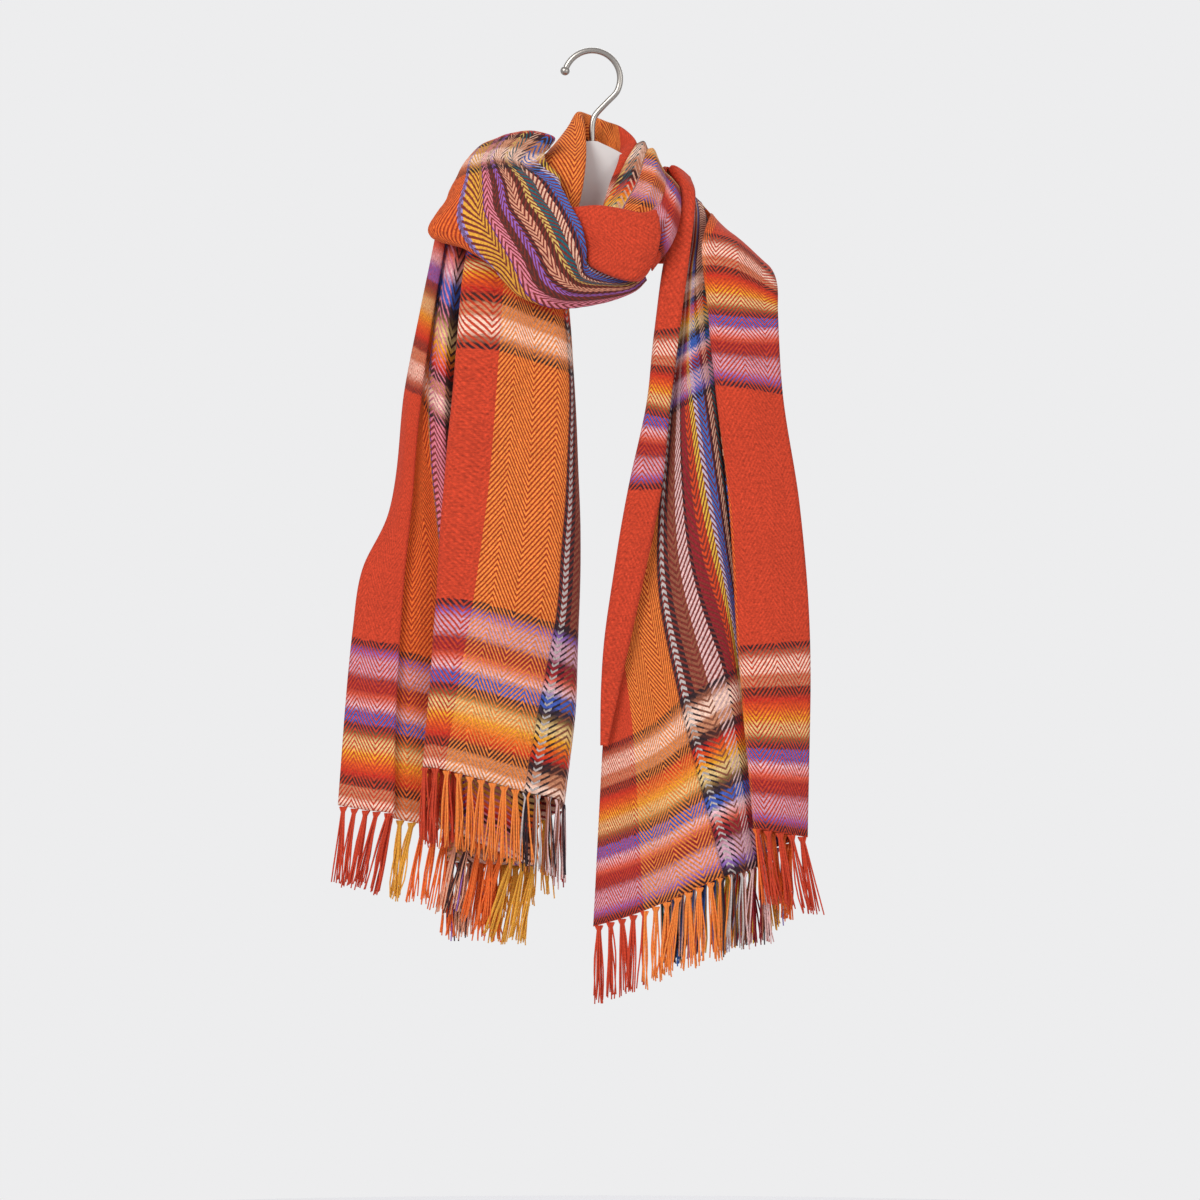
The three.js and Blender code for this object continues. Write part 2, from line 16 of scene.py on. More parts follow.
import bpy
import numpy as np
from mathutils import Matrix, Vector

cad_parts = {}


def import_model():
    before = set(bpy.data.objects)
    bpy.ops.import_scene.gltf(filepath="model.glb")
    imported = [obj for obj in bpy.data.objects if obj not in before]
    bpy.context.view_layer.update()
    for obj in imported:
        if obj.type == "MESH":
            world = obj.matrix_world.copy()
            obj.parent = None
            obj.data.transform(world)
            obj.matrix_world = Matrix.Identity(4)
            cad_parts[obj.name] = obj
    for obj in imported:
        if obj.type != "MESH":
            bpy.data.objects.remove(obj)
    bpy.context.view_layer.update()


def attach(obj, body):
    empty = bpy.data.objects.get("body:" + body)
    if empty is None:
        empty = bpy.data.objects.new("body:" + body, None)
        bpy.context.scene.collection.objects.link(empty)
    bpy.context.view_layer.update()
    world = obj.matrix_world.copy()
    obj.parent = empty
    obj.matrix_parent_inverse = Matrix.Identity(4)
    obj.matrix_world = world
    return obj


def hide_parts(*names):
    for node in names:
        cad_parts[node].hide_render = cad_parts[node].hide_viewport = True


LOG = logging.getLogger("scarf")
MM = 0.001
BODY = "root"
TINY = 1e-4                 # stands in for a length of nothing
HALF_CLOTH = 0.75           # half the thickness of the woven cloth
CLOTH_WIDTH = 505.0         # from selvedge to selvedge
WEAVE_UV = "Weave"

Row = Sequence[float]
Table = Sequence[Sequence[Row]]


class Held(Enum):
    HUNG = "hung"
    DRAPED = "draped"
    FOLDED = "folded"


class Slot(Enum):
    """The record's material slots."""

    RED = "red_cloth"
    ORANGE = "orange_cloth"
    STRIPED = "striped_cloth"
    YARN = "yarn"
    WIRE = "hook_wire"
    WHITE = "hanger_white"


@dataclass(frozen=True)
class Srgb:
    """A colour as it is seen, each channel from 0 to 255."""

    red: float
    green: float
    blue: float

    def linear(self) -> tuple[float, float, float, float]:
        """Turns the colour into Blender's linear light.

        Returns:
            Red, green, blue and full alpha.
        """
        shares = [channel / 255 for channel in (self.red, self.green, self.blue)]
        return *(t / 12.92 if t <= 0.04045 else ((t + 0.055) / 1.055) ** 2.4 for t in shares), 1.0


# Shader graphs


class Scalar:
    """A number that varies over a surface. Operators on it add Math nodes to its graph."""

    def __init__(self, graph: Graph, socket: bpy.types.NodeSocket) -> None:
        """Wraps an output socket.

        Args:
            graph: the graph that new nodes are added to.
            socket: the output whose number this is.
        """
        self.graph = graph
        self.socket = socket

    def _math(self, operation: str, *operands: Any) -> Scalar:
        """Adds a Math node.

        Args:
            operation: the node's operation.
            operands: numbers or Scalars, in the node's order.

        Returns:
            The node's result.
        """
        sockets = {i: operand for i, operand in enumerate(operands)}
        node = self.graph.add("ShaderNodeMath", {"operation": operation}, sockets)
        return Scalar(self.graph, node.outputs[0])

    def __add__(self, other: Any) -> Scalar:
        """Returns self + other."""
        return self._math("ADD", self, other)

    __radd__ = __add__

    def __sub__(self, other: Any) -> Scalar:
        """Returns self - other."""
        return self._math("SUBTRACT", self, other)

    def __rsub__(self, other: Any) -> Scalar:
        """Returns other - self."""
        return self._math("SUBTRACT", other, self)

    def __mul__(self, other: Any) -> Scalar:
        """Returns self * other."""
        return self._math("MULTIPLY", self, other)

    def __truediv__(self, other: Any) -> Scalar:
        """Returns self / other."""
        return self._math("DIVIDE", self, other)

    def __mod__(self, other: Any) -> Scalar:
        """Returns self wrapped to the range from 0 to other."""
        return self._math("FLOORED_MODULO", self, other)

    def __abs__(self) -> Scalar:
        """Returns the size of self without its sign."""
        return self._math("ABSOLUTE", self)

    def sine(self) -> Scalar:
        """Returns the sine of self, in radians."""
        return self._math("SINE", self)

    def step(self, low: float, high: float) -> Scalar:
        """Adds a smooth step.

        Args:
            low: where the step is 0.
            high: where it is 1.

        Returns:
            The step's result.
        """
        settings = {"interpolation_type": "SMOOTHSTEP"}
        node = self.graph.add("ShaderNodeMapRange", settings, {0: self, 1: low, 2: high, 3: 0.0, 4: 1.0})
        return Scalar(self.graph, node.outputs[0])


class Graph:
    """The node tree of one material or world."""

    def __init__(self, tree: bpy.types.NodeTree) -> None:
        """Empties the tree and keeps it."""
        self.tree = tree
        tree.nodes.clear()

    def add(self, kind: str, settings: dict[str, Any] | None = None,
            sockets: dict[Any, Any] | None = None) -> Any:
        """Adds one node.

        Args:
            kind: the node's type.
            settings: its properties by name.
            sockets: its inputs by name or number, each a value, a Scalar or an output socket.

        Returns:
            The new node.
        """
        node = self.tree.nodes.new(kind)
        for name, value in (settings or {}).items():
            setattr(node, name, value)
        for name, value in (sockets or {}).items():
            if isinstance(value, Scalar):
                value = value.socket
            if isinstance(value, bpy.types.NodeSocket):
                self.tree.links.new(value, node.inputs[name])
            else:
                node.inputs[name].default_value = value
        return node

    def ramp(self, place: Any, stops: Sequence[tuple[float, Srgb]], interpolation: str) -> Any:
        """Adds a colour ramp.

        Args:
            place: where the colour is read, from 0 to 1.
            stops: a place and a colour for each stop, in rising order of place.
            interpolation: how the ramp goes from one stop to the next.

        Returns:
            The colour's output socket.
        """
        node = self.add("ShaderNodeValToRGB", {}, {0: place})
        ramp = node.color_ramp
        ramp.interpolation = interpolation
        while len(ramp.elements) > 1:
            ramp.elements.remove(ramp.elements[-1])
        for i, (begin, colour) in enumerate(stops):
            element = ramp.elements[0] if i == 0 else ramp.elements.new(begin)
            element.position = begin
            element.color = colour.linear()
        return node.outputs[0]

    def blend(self, share: Any, first: Any, second: Any, mode: str = "MIX") -> Any:
        """Mixes two colours.

        Args:
            share: how much of the second colour shows.
            first: a colour or an output socket.
            second: a colour or an output socket.
            mode: the blend mode.

        Returns:
            The mixed colour's output socket.
        """
        settings = {"data_type": "RGBA", "blend_type": mode}
        return self.add("ShaderNodeMix", settings, {0: share, 6: first, 7: second}).outputs[2]

    def lit(self, colour: Any, light: Scalar) -> Any:
        """Returns a colour's output socket made lighter or darker by a factor."""
        grey = self.add("ShaderNodeCombineColor", {}, {0: light, 1: light, 2: light})
        return self.blend(1.0, colour, grey.outputs[0], "MULTIPLY")

    def noise(self, vector: Any, scale: float, detail: float = 2.0) -> Scalar:
        """Returns a noise of the given scale over a vector."""
        node = self.add("ShaderNodeTexNoise", {}, {"Vector": vector, "Scale": scale, "Detail": detail})
        return Scalar(self, node.outputs[0])

    def object_place(self) -> Any:
        """Returns the output socket of the place on the object."""
        return self.add("ShaderNodeTexCoord").outputs["Object"]

    def cloth_lengths(self) -> tuple[Scalar, Scalar, Any]:
        """Reads the cloth's own lengths.

        Returns:
            The place across and along the cloth in millimetres, and the texture vector.
        """
        vector = self.add("ShaderNodeUVMap", {"uv_map": WEAVE_UV}).outputs[0]
        parts = self.add("ShaderNodeSeparateXYZ", {}, {0: vector})
        return Scalar(self, parts.outputs[0]) / MM, Scalar(self, parts.outputs[1]) / MM, vector

    def stretched(self, *parts: Scalar | float) -> Any:
        """Returns a vector's output socket from its parts."""
        return self.add("ShaderNodeCombineXYZ", {}, dict(enumerate(parts))).outputs[0]

    def bump(self, height: Scalar, strength: float, distance: float) -> Any:
        """Returns the normal's output socket for a height of the given strength and depth."""
        sockets = {"Strength": strength, "Distance": distance, "Height": height}
        return self.add("ShaderNodeBump", {}, sockets).outputs[0]

    def surface(self, sockets: dict[str, Any]) -> None:
        """Ends the material with a principled surface that has the given inputs."""
        shader = self.add("ShaderNodeBsdfPrincipled", {}, sockets)
        self.add("ShaderNodeOutputMaterial", {}, {0: shader.outputs[0]})


def new_material(name: str) -> tuple[bpy.types.Material, Graph]:
    """Makes an empty node material.

    Args:
        name: the material's name.

    Returns:
        The material and its graph.
    """
    material = bpy.data.materials.new(name)
    material.use_nodes = True
    return material, Graph(material.node_tree)


# The cloth's colours


@dataclass(frozen=True)
class Stripe:
    """One coloured stripe: the length at which it ends, and its yarn's colour."""

    end: float
    colour: Srgb


def stripes(*rows: tuple[float, float, float, float]) -> list[Stripe]:
    """Makes stripes from rows of an end, a red, a green and a blue."""
    return [Stripe(end, Srgb(red, green, blue)) for end, red, green, blue in rows]


WARP = stripes(
    (60, 206, 68, 40), (126, 246, 140, 62), (129, 48, 36, 44), (135, 196, 186, 182), (141, 52, 38, 42),
    (155, 146, 84, 62), (169, 232, 190, 186), (173, 50, 30, 38), (185, 150, 34, 44), (197, 218, 74, 34),
    (207, 240, 190, 66), (215, 206, 194, 220), (229, 66, 116, 200), (235, 44, 36, 52), (245, 242, 190, 162),
    (257, 36, 100, 108), (267, 230, 190, 104), (275, 84, 46, 36), (293, 232, 164, 132), (298, 66, 38, 40),
    (312, 156, 104, 188), (326, 86, 46, 42), (346, 232, 134, 152), (349, 110, 66, 152), (375, 234, 168, 62),
    (379, 150, 132, 196), (445, 240, 112, 46), (505, 206, 68, 40),
)
# The weft's colours outside the bands: the yarn's own colour, darkened further as painted shade of the
# recesses between the warp's ridges
SHADED_PLAIN_WEFT = stripes(
    (60, 192, 62, 38), (126, 164, 54, 24), (379, 128, 50, 42), (445, 172, 54, 26), (505, 192, 62, 38),
)
WEFT_BAND = stripes(
    (5, 54, 34, 38), (14, 168, 104, 80), (27, 248, 206, 184), (38, 198, 132, 98), (45, 70, 38, 36),
    (53, 202, 40, 28), (61, 232, 96, 30), (71, 240, 168, 42), (78, 228, 192, 128), (87, 130, 98, 54),
    (91, 56, 42, 58), (102, 66, 92, 178), (111, 236, 190, 196), (119, 222, 100, 78), (125, 150, 34, 40),
    (134, 128, 42, 56), (147, 208, 158, 176), (157, 136, 96, 174), (163, 60, 34, 44),
)
BAND_LENGTH = WEFT_BAND[-1].end
BAND_REPEAT = 373.0
RED_ENDS, ORANGE_ENDS, ROPES_END, RED_BEGINS = (WARP[i].end for i in (0, 1, -3, -2))
NARROW_STRIPE = 7.0
WIDE_STRIPE = 10.5
CLEAR_MARGIN = 0.12         # the share of a clear stripe that blends into the next


def stepped_stops(row: Sequence[Stripe]) -> list[tuple[float, Srgb]]:
    """Places stripes on a stepped colour ramp over the cloth's width, each stop where its stripe begins.

    Args:
        row: the stripes in order.

    Returns:
        The ramp's stops.
    """
    begins = [0.0] + [stripe.end for stripe in row[:-1]]
    return [(begin / CLOTH_WIDTH, stripe.colour) for begin, stripe in zip(begins, row)]


def blended_stops(row: Sequence[Stripe]) -> list[tuple[float, Srgb]]:
    """Places stripes on a smooth colour ramp, where very narrow and wide ones keep clear edges.

    Args:
        row: the stripes in order.

    Returns:
        The ramp's stops.
    """
    stops = []
    begin = 0.0
    for stripe in row:
        width = stripe.end - begin
        if width <= NARROW_STRIPE or width >= WIDE_STRIPE:
            margin = CLEAR_MARGIN * width
            places = [begin + margin, stripe.end - margin]
        else:
            places = [(begin + stripe.end) / 2]
        stops += [(place / row[-1].end, stripe.colour) for place in places]
        begin = stripe.end
    return stops


# Finishes


@dataclass(frozen=True)
class WovenPlaid:
    """Herringbone cloth whose warp stripes cross repeating weft bands.

    Lengths are in millimetres, relief is in metres, and a scale is a noise's own. Lights and shades are
    added to a factor on the colour, and heights are shares of the relief.
    """

    name: str
    line_pitch: float = 5.1
    column: float = 19.0
    steepness: float = 1.65
    first_peak: float = 75.0
    weft_share: float = 0.44
    softness: float = 0.16
    fray: float = 1.3
    wander: float = 1.2
    ragged_edge: float = 4.0
    rope_steepness: float = 0.9
    rope_coarseness: float = 0.92
    thread: float = 1.25
    pick: float = 1.4
    relief: float = 0.0007
    roughness: float = 0.86
    wander_scale: float = 60.0
    yarn_scale: float = 640.0
    cloud_scale: float = 22.0
    fleck_scale: float = 330.0
    weft_gain: float = 0.1
    band_shade: float = 0.14
    red_calm: float = 0.75
    lightness: float = 1.02
    edge_shade: float = 0.36
    warp_streak: tuple[float, float] = (0.85, 0.022)
    weft_streak: tuple[float, float] = (0.022, 0.8)
    streak_light: float = 0.6
    yarn_light: float = 1.1
    fleck_light: float = 0.8
    cloud_light: float = 0.2
    wave_height: float = 0.42
    thread_height: float = 0.12
    yarn_height: float = 0.5

    def _herringbone(self, across: Scalar, along: Scalar, roped: Scalar) -> Scalar:
        """Works out the wave whose troughs are the lines of weft, steeper and finer in the red and orange.

        Args:
            across: the place across the cloth.
            along: the place along it.
            roped: 1 in the many-coloured stripes, whose lines look like ropes, and 0 elsewhere.

        Returns:
            The wave, from 0 to 1.
        """
        slope = self.steepness - roped * (self.steepness - self.rope_steepness)
        coarse = 1 - roped * (1 - self.rope_coarseness)
        from_peak = abs((across - (self.first_peak - self.column)) % (2 * self.column) - self.column)
        return abs(((along + from_peak * slope) * coarse / self.line_pitch) % 1.0 - 0.5) * 2

    def _streak(self, graph: Graph, across: Scalar, along: Scalar, weft_shows: Scalar) -> Scalar:
        """Works out light and dark streaks along the yarns that show.

        Args:
            graph: the material's graph.
            across: the place across the cloth.
            along: the place along it.
            weft_shows: 1 where the weft lies on top and 0 where the warp does.

        Returns:
            The streaks, about 0.
        """
        (warp_x, warp_y), (weft_x, weft_y) = self.warp_streak, self.weft_streak
        warp = graph.noise(graph.stretched(across * warp_x, along * warp_y), 1.0) - 0.5
        weft = graph.noise(graph.stretched(across * weft_x, along * weft_y, 7.0), 1.0) - 0.5
        return warp + (weft - warp) * weft_shows

    def material(self) -> bpy.types.Material:
        """Builds the cloth's material.

        Returns:
            A material that reads the cloth's own lengths from its texture coordinates.
        """
        material, graph = new_material(self.name)
        across, along, vector = graph.cloth_lengths()
        wander = graph.noise(vector, self.wander_scale) - 0.5
        yarn = graph.noise(vector, self.yarn_scale)
        cloud = graph.noise(vector, self.cloud_scale, 3.0)
        fleck = graph.noise(vector, self.fleck_scale)
        ragged = (fleck - 0.5) * self.ragged_edge
        place = ((along + ragged) % BAND_REPEAT) / BAND_LENGTH
        banded = place.step(0.0, 0.01) * (1 - place.step(0.99, 1.0))
        red = 1 - across.step(RED_ENDS - 2, RED_ENDS + 2) + across.step(RED_BEGINS - 2, RED_BEGINS + 2)
        past_orange = across.step(ORANGE_ENDS - 1, ORANGE_ENDS + 1)
        roped = past_orange * (1 - across.step(ROPES_END - 1, ROPES_END + 1))
        frayed = along + wander * self.wander + (yarn - 0.5) * self.fray
        wave = self._herringbone(across, frayed, roped)
        weft_on_top = banded * (roped * self.weft_gain + self.weft_gain) + self.weft_share - wave
        weft_shows = weft_on_top.step(-self.softness, self.softness)
        warp_place = (across + ragged * 0.15) / CLOTH_WIDTH
        warp = graph.ramp(warp_place, stepped_stops(WARP), "CONSTANT")
        warp = graph.lit(warp, 1 - banded * self.band_shade)
        # The plain weft's ramp carries painted shade of the recesses between the warp's ridges
        plain = graph.ramp(across / CLOTH_WIDTH, stepped_stops(SHADED_PLAIN_WEFT), "CONSTANT")
        band = graph.ramp(place, blended_stops(WEFT_BAND), "LINEAR")
        colour = graph.blend(weft_shows, warp, graph.blend(banded, plain, band))
        lines = 1 - red * self.red_calm
        # Painted shade: the colour darkens where warp and weft lines meet, as in the dips between the yarns,
        # less so in the red
        edge = (1 - abs(weft_shows - 0.5) * 2) * lines
        streak = self._streak(graph, across, along, weft_shows)
        light = self.lightness - edge * self.edge_shade + streak * self.streak_light
        light = light + (yarn - 0.5) * self.yarn_light + (fleck - 0.5) * self.fleck_light
        light = light + (cloud - 0.5) * self.cloud_light
        rib = ((across * (2 * math.pi / self.thread)).sine() + 1) * 0.5
        pick = ((along * (2 * math.pi / self.pick)).sine() + 1) * 0.5
        height = wave * self.wave_height * lines + (rib + pick) * self.thread_height
        height = height + yarn * self.yarn_height
        graph.surface({
            "Base Color": graph.lit(colour, light), "Roughness": self.roughness + (yarn - 0.5) * 0.2,
            "Normal": graph.bump(height, 0.75, self.relief),
            "Specular IOR Level": 0.16, "Sheen Weight": 0.05, "Sheen Roughness": 0.6,
        })
        return material


@dataclass(frozen=True)
class FringeYarn:
    """Loose twisted warp yarns, in the colours of the stripes that they come from."""

    name: str
    twist_pitch: float = 2.6
    roughness: float = 0.82
    patch_scale: float = 160.0
    fibre_scale: float = 1800.0
    lightness: float = 0.92
    twist_light: float = 0.18
    patch_light: float = 0.35
    fibre_light: float = 0.25

    def material(self) -> bpy.types.Material:
        """Builds the yarn's material: U is the place across the cloth and V the length along the yarn.

        Returns:
            The new material.
        """
        material, graph = new_material(self.name)
        across, along, _ = graph.cloth_lengths()
        warp = graph.ramp(across / CLOTH_WIDTH, stepped_stops(WARP), "CONSTANT")
        place = graph.object_place()
        patch = graph.noise(place, self.patch_scale, 3.0)
        fibre = graph.noise(place, self.fibre_scale)
        turn = abs((along / self.twist_pitch) % 1.0 - 0.5) * 2
        light = self.lightness + turn * self.twist_light
        light = light + (patch - 0.5) * self.patch_light + (fibre - 0.5) * self.fibre_light
        graph.surface({
            "Base Color": graph.lit(warp, light), "Roughness": self.roughness + (fibre - 0.5) * 0.2,
            "Normal": graph.bump(turn * 0.6 + fibre * 0.4, 0.6, 0.0004),
            "Specular IOR Level": 0.18, "Sheen Weight": 0.06, "Sheen Roughness": 0.6,
        })
        return material


@dataclass(frozen=True)
class Satin:
    """A smooth finish that is a little darker and rougher in patches.

    Cloud and grain are a coarse and a fine noise, each as a scale and a detail. Bump is a strength and a
    distance.
    """

    name: str
    colour: Srgb
    worn: Srgb
    roughness: float
    cloud: tuple[float, float]
    grain: tuple[float, float]
    cloud_gain: float
    bump: tuple[float, float]
    metallic: float = 0.0
    grain_gain: float = 0.12

    def material(self) -> bpy.types.Material:
        """Builds the finish's material.

        Returns:
            The new material.
        """
        material, graph = new_material(self.name)
        place = graph.object_place()
        cloud = graph.noise(place, *self.cloud)
        grain = graph.noise(place, *self.grain)
        unevenness = (grain - 0.5) * self.grain_gain + (cloud - 0.5) * self.cloud_gain
        graph.surface({
            "Base Color": graph.blend(cloud, self.colour.linear(), self.worn.linear()),
            "Metallic": self.metallic, "Roughness": unevenness + self.roughness,
            "Normal": graph.bump(grain, *self.bump),
        })
        return material


STEEL = Satin("satin_steel", Srgb(196, 190, 182), Srgb(164, 158, 150), roughness=0.32, cloud=(45.0, 2.0),
              grain=(700.0, 4.0), cloud_gain=0.14, bump=(0.2, 0.0001), metallic=1.0)
WHITE = Satin("satin_white", Srgb(232, 229, 226), Srgb(216, 212, 208), roughness=0.42, cloud=(30.0, 3.0),
              grain=(420.0, 3.0), cloud_gain=0.1, bump=(0.15, 0.0002))


@dataclass(frozen=True)
class PaleFloor:
    """The plain pale floor under the object."""

    name: str
    colour: Srgb = Srgb(236, 236, 237)

    def material(self) -> bpy.types.Material:
        """Builds the floor's material.

        Returns:
            The new material.
        """
        material, graph = new_material(self.name)
        graph.surface({"Base Color": self.colour.linear(), "Roughness": 0.9})
        return material


# Surfaces


def smooth(points: np.ndarray, steps: int) -> np.ndarray:
    """Runs a centripetal Catmull-Rom curve through points along the first axis.

    Args:
        points: an array of shape (count, lines, values) whose first three values are a place.
        steps: how many steps each span gets.

    Returns:
        An array of shape ((count - 1) * steps + 1, lines, values) that keeps every given point.
    """
    count = len(points)
    before = 2 * points[0] - points[1]
    after = 2 * points[-1] - points[-2]
    padded = np.concatenate([before[None], points, after[None]])
    gaps = np.linalg.norm(np.diff(padded[..., :3], axis=0), axis=-1) ** 0.5
    gaps = np.maximum(gaps, TINY)[..., None]
    result = []
    for span in range(count - 1):
        p0, p1, p2, p3 = padded[span:span + 4]
        d0, d1, d2 = gaps[span:span + 3]
        t1 = ((p1 - p0) / d0 - (p2 - p0) / (d0 + d1) + (p2 - p1) / d1) * d1
        t2 = ((p2 - p1) / d1 - (p3 - p1) / (d1 + d2) + (p3 - p2) / d2) * d1
        for step in range(steps):
            t = step / steps
            cubic = 2 * p1 - 2 * p2 + t1 + t2
            square = -3 * p1 + 3 * p2 - 2 * t1 - t2
            result.append(p1 + t1 * t + square * t * t + cubic * t ** 3)
    result.append(points[-1])
    return np.array(result)


def normals(grid: np.ndarray) -> np.ndarray:
    """Works out the unit normals of a grid, on the side that faces out.

    Args:
        grid: places by line and station.

    Returns:
        A normal for each place.
    """
    normal = np.cross(np.gradient(grid, axis=1), np.gradient(grid, axis=0))
    return normal / np.maximum(np.linalg.norm(normal, axis=-1, keepdims=True), TINY * TINY)


@dataclass(frozen=True)
class Crease:
    """A valley or ridge pressed into the cloth along a line that is seen from the front.

    The line is a list of (x, z). Depth is how far the cloth moves forward along its own outward side, so
    a valley has a negative depth, and width is how far from the line its effect fades. Along the line the
    depth follows a sine to the power of roundness, and it fades no further beyond the shares in ends.
    """

    line: Sequence[tuple[float, float]]
    depth: float
    width: float
    ends: tuple[float, float] = (0.04, 0.96)
    roundness: float = 0.6

    def height(self, places: np.ndarray) -> np.ndarray:
        """Works out the move at each place.

        Args:
            places: an array of places whose last axis is x, y, z.

        Returns:
            The move at each, in millimetres.
        """
        seen = places[..., [0, 2]]
        nearest = np.full(seen.shape[:-1], np.inf)
        taper = np.zeros(seen.shape[:-1])
        line = np.array(self.line, dtype=float)
        lengths = np.linalg.norm(np.diff(line, axis=0), axis=1)
        whole = lengths.sum()
        passed = 0.0
        for start, end, length in zip(line[:-1], line[1:], lengths):
            direction = (end - start) / length
            reach = np.clip((seen - start) @ direction, 0, length)
            distance = np.linalg.norm(seen - start - reach[..., None] * direction, axis=-1)
            share = (passed + reach) / whole
            closer = distance < nearest
            nearest = np.where(closer, distance, nearest)
            taper = np.where(closer, np.sin(np.pi * np.clip(share, *self.ends)) ** self.roundness, taper)
            passed += length
        return self.depth * taper * np.exp(-(nearest / self.width) ** 2)


def build_mesh(name: str, places: np.ndarray, faces: np.ndarray, uv: np.ndarray,
               material: bpy.types.Material) -> bpy.types.Object:
    """Makes a smooth-shaded mesh object.

    Args:
        name: the object's name.
        places: vertex places in millimetres.
        faces: four vertex numbers to a face.
        uv: each vertex's texture place in millimetres.
        material: the mesh's material.

    Returns:
        The object, linked to the scene.
    """
    mesh = bpy.data.meshes.new(name)
    mesh.from_pydata((places * MM).tolist(), [], faces.tolist())
    layer = mesh.uv_layers.new(name=WEAVE_UV)
    loops = np.zeros(len(mesh.loops), dtype=np.int32)
    mesh.loops.foreach_get("vertex_index", loops)
    layer.data.foreach_set("uv", (uv[loops] * MM).astype(np.float32).ravel())
    mesh.materials.append(material)
    mesh.shade_smooth()
    mesh.validate()
    return link(name, mesh)


def link(name: str, data: Any) -> bpy.types.Object:
    """Makes an object and links it to the scene.

    Args:
        name: the object's name.
        data: its mesh, light or camera.

    Returns:
        The new object.
    """
    thing = bpy.data.objects.new(name, data)
    bpy.context.scene.collection.objects.link(thing)
    return thing


def hand_over(piece: bpy.types.Object, node: str) -> bpy.types.Object:
    """Gives a piece to the frame.

    Args:
        piece: the visible piece.
        node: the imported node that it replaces.

    Returns:
        The same piece.
    """
    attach(piece, BODY)
    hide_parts(node)
    return piece


def report(piece: bpy.types.Object) -> None:
    """Logs a piece's name and the number of its faces."""
    LOG.info("%s: %d faces", piece.name, len(piece.data.polygons))


@dataclass(frozen=True)
class Ridges:
    """Rounded ridges that run along the cloth between valleys at given places across it.

    They reach their full height between the two inner lengths of fade, and are gone at the outer two. One
    that is narrower than full_width is lower. Mean is taken off, so that the cloth as a whole stays put.
    """

    valleys: Sequence[float]
    height: float
    fade: tuple[float, float, float, float]
    full_width: float = 22.0
    roundness: float = 0.75
    mean: float = 0.45

    def move(self, across: np.ndarray, along: np.ndarray) -> np.ndarray:
        """Works out how far the cloth moves outward at each of its own lengths.

        Args:
            across: the place across the cloth.
            along: the length along it.

        Returns:
            The move at each, in millimetres.
        """
        shape = np.zeros_like(across)
        for low, high in zip(self.valleys[:-1], self.valleys[1:]):
            share = (across - low) / (high - low)
            inside = (share > 0) & (share < 1)
            swell = np.sin(np.pi * np.clip(share, 0, 1)) ** self.roundness
            swell = swell * min(1.0, (high - low) / self.full_width)
            shape = np.where(inside, swell, shape)
        strength = np.interp(along, self.fade, [0.0, 1.0, 1.0, 0.0])
        return self.height * strength * (shape - self.mean)


# The percentile of the spans' lengths whose steps have the wanted spacing, and the fewest and most steps
LONG_SPAN = 75
STEPS = (2, 24)
# The cloth's slight waves: strength, pitch across, pitch along and phase
SWAYS = ((0.5, 17, 61, 0.0), (0.3, 9, -37, 1.3), (0.2, 43, 13, 0.0))
# How fast a crease fades where the cloth turns away from the front
FRONT_GAIN = 1.6


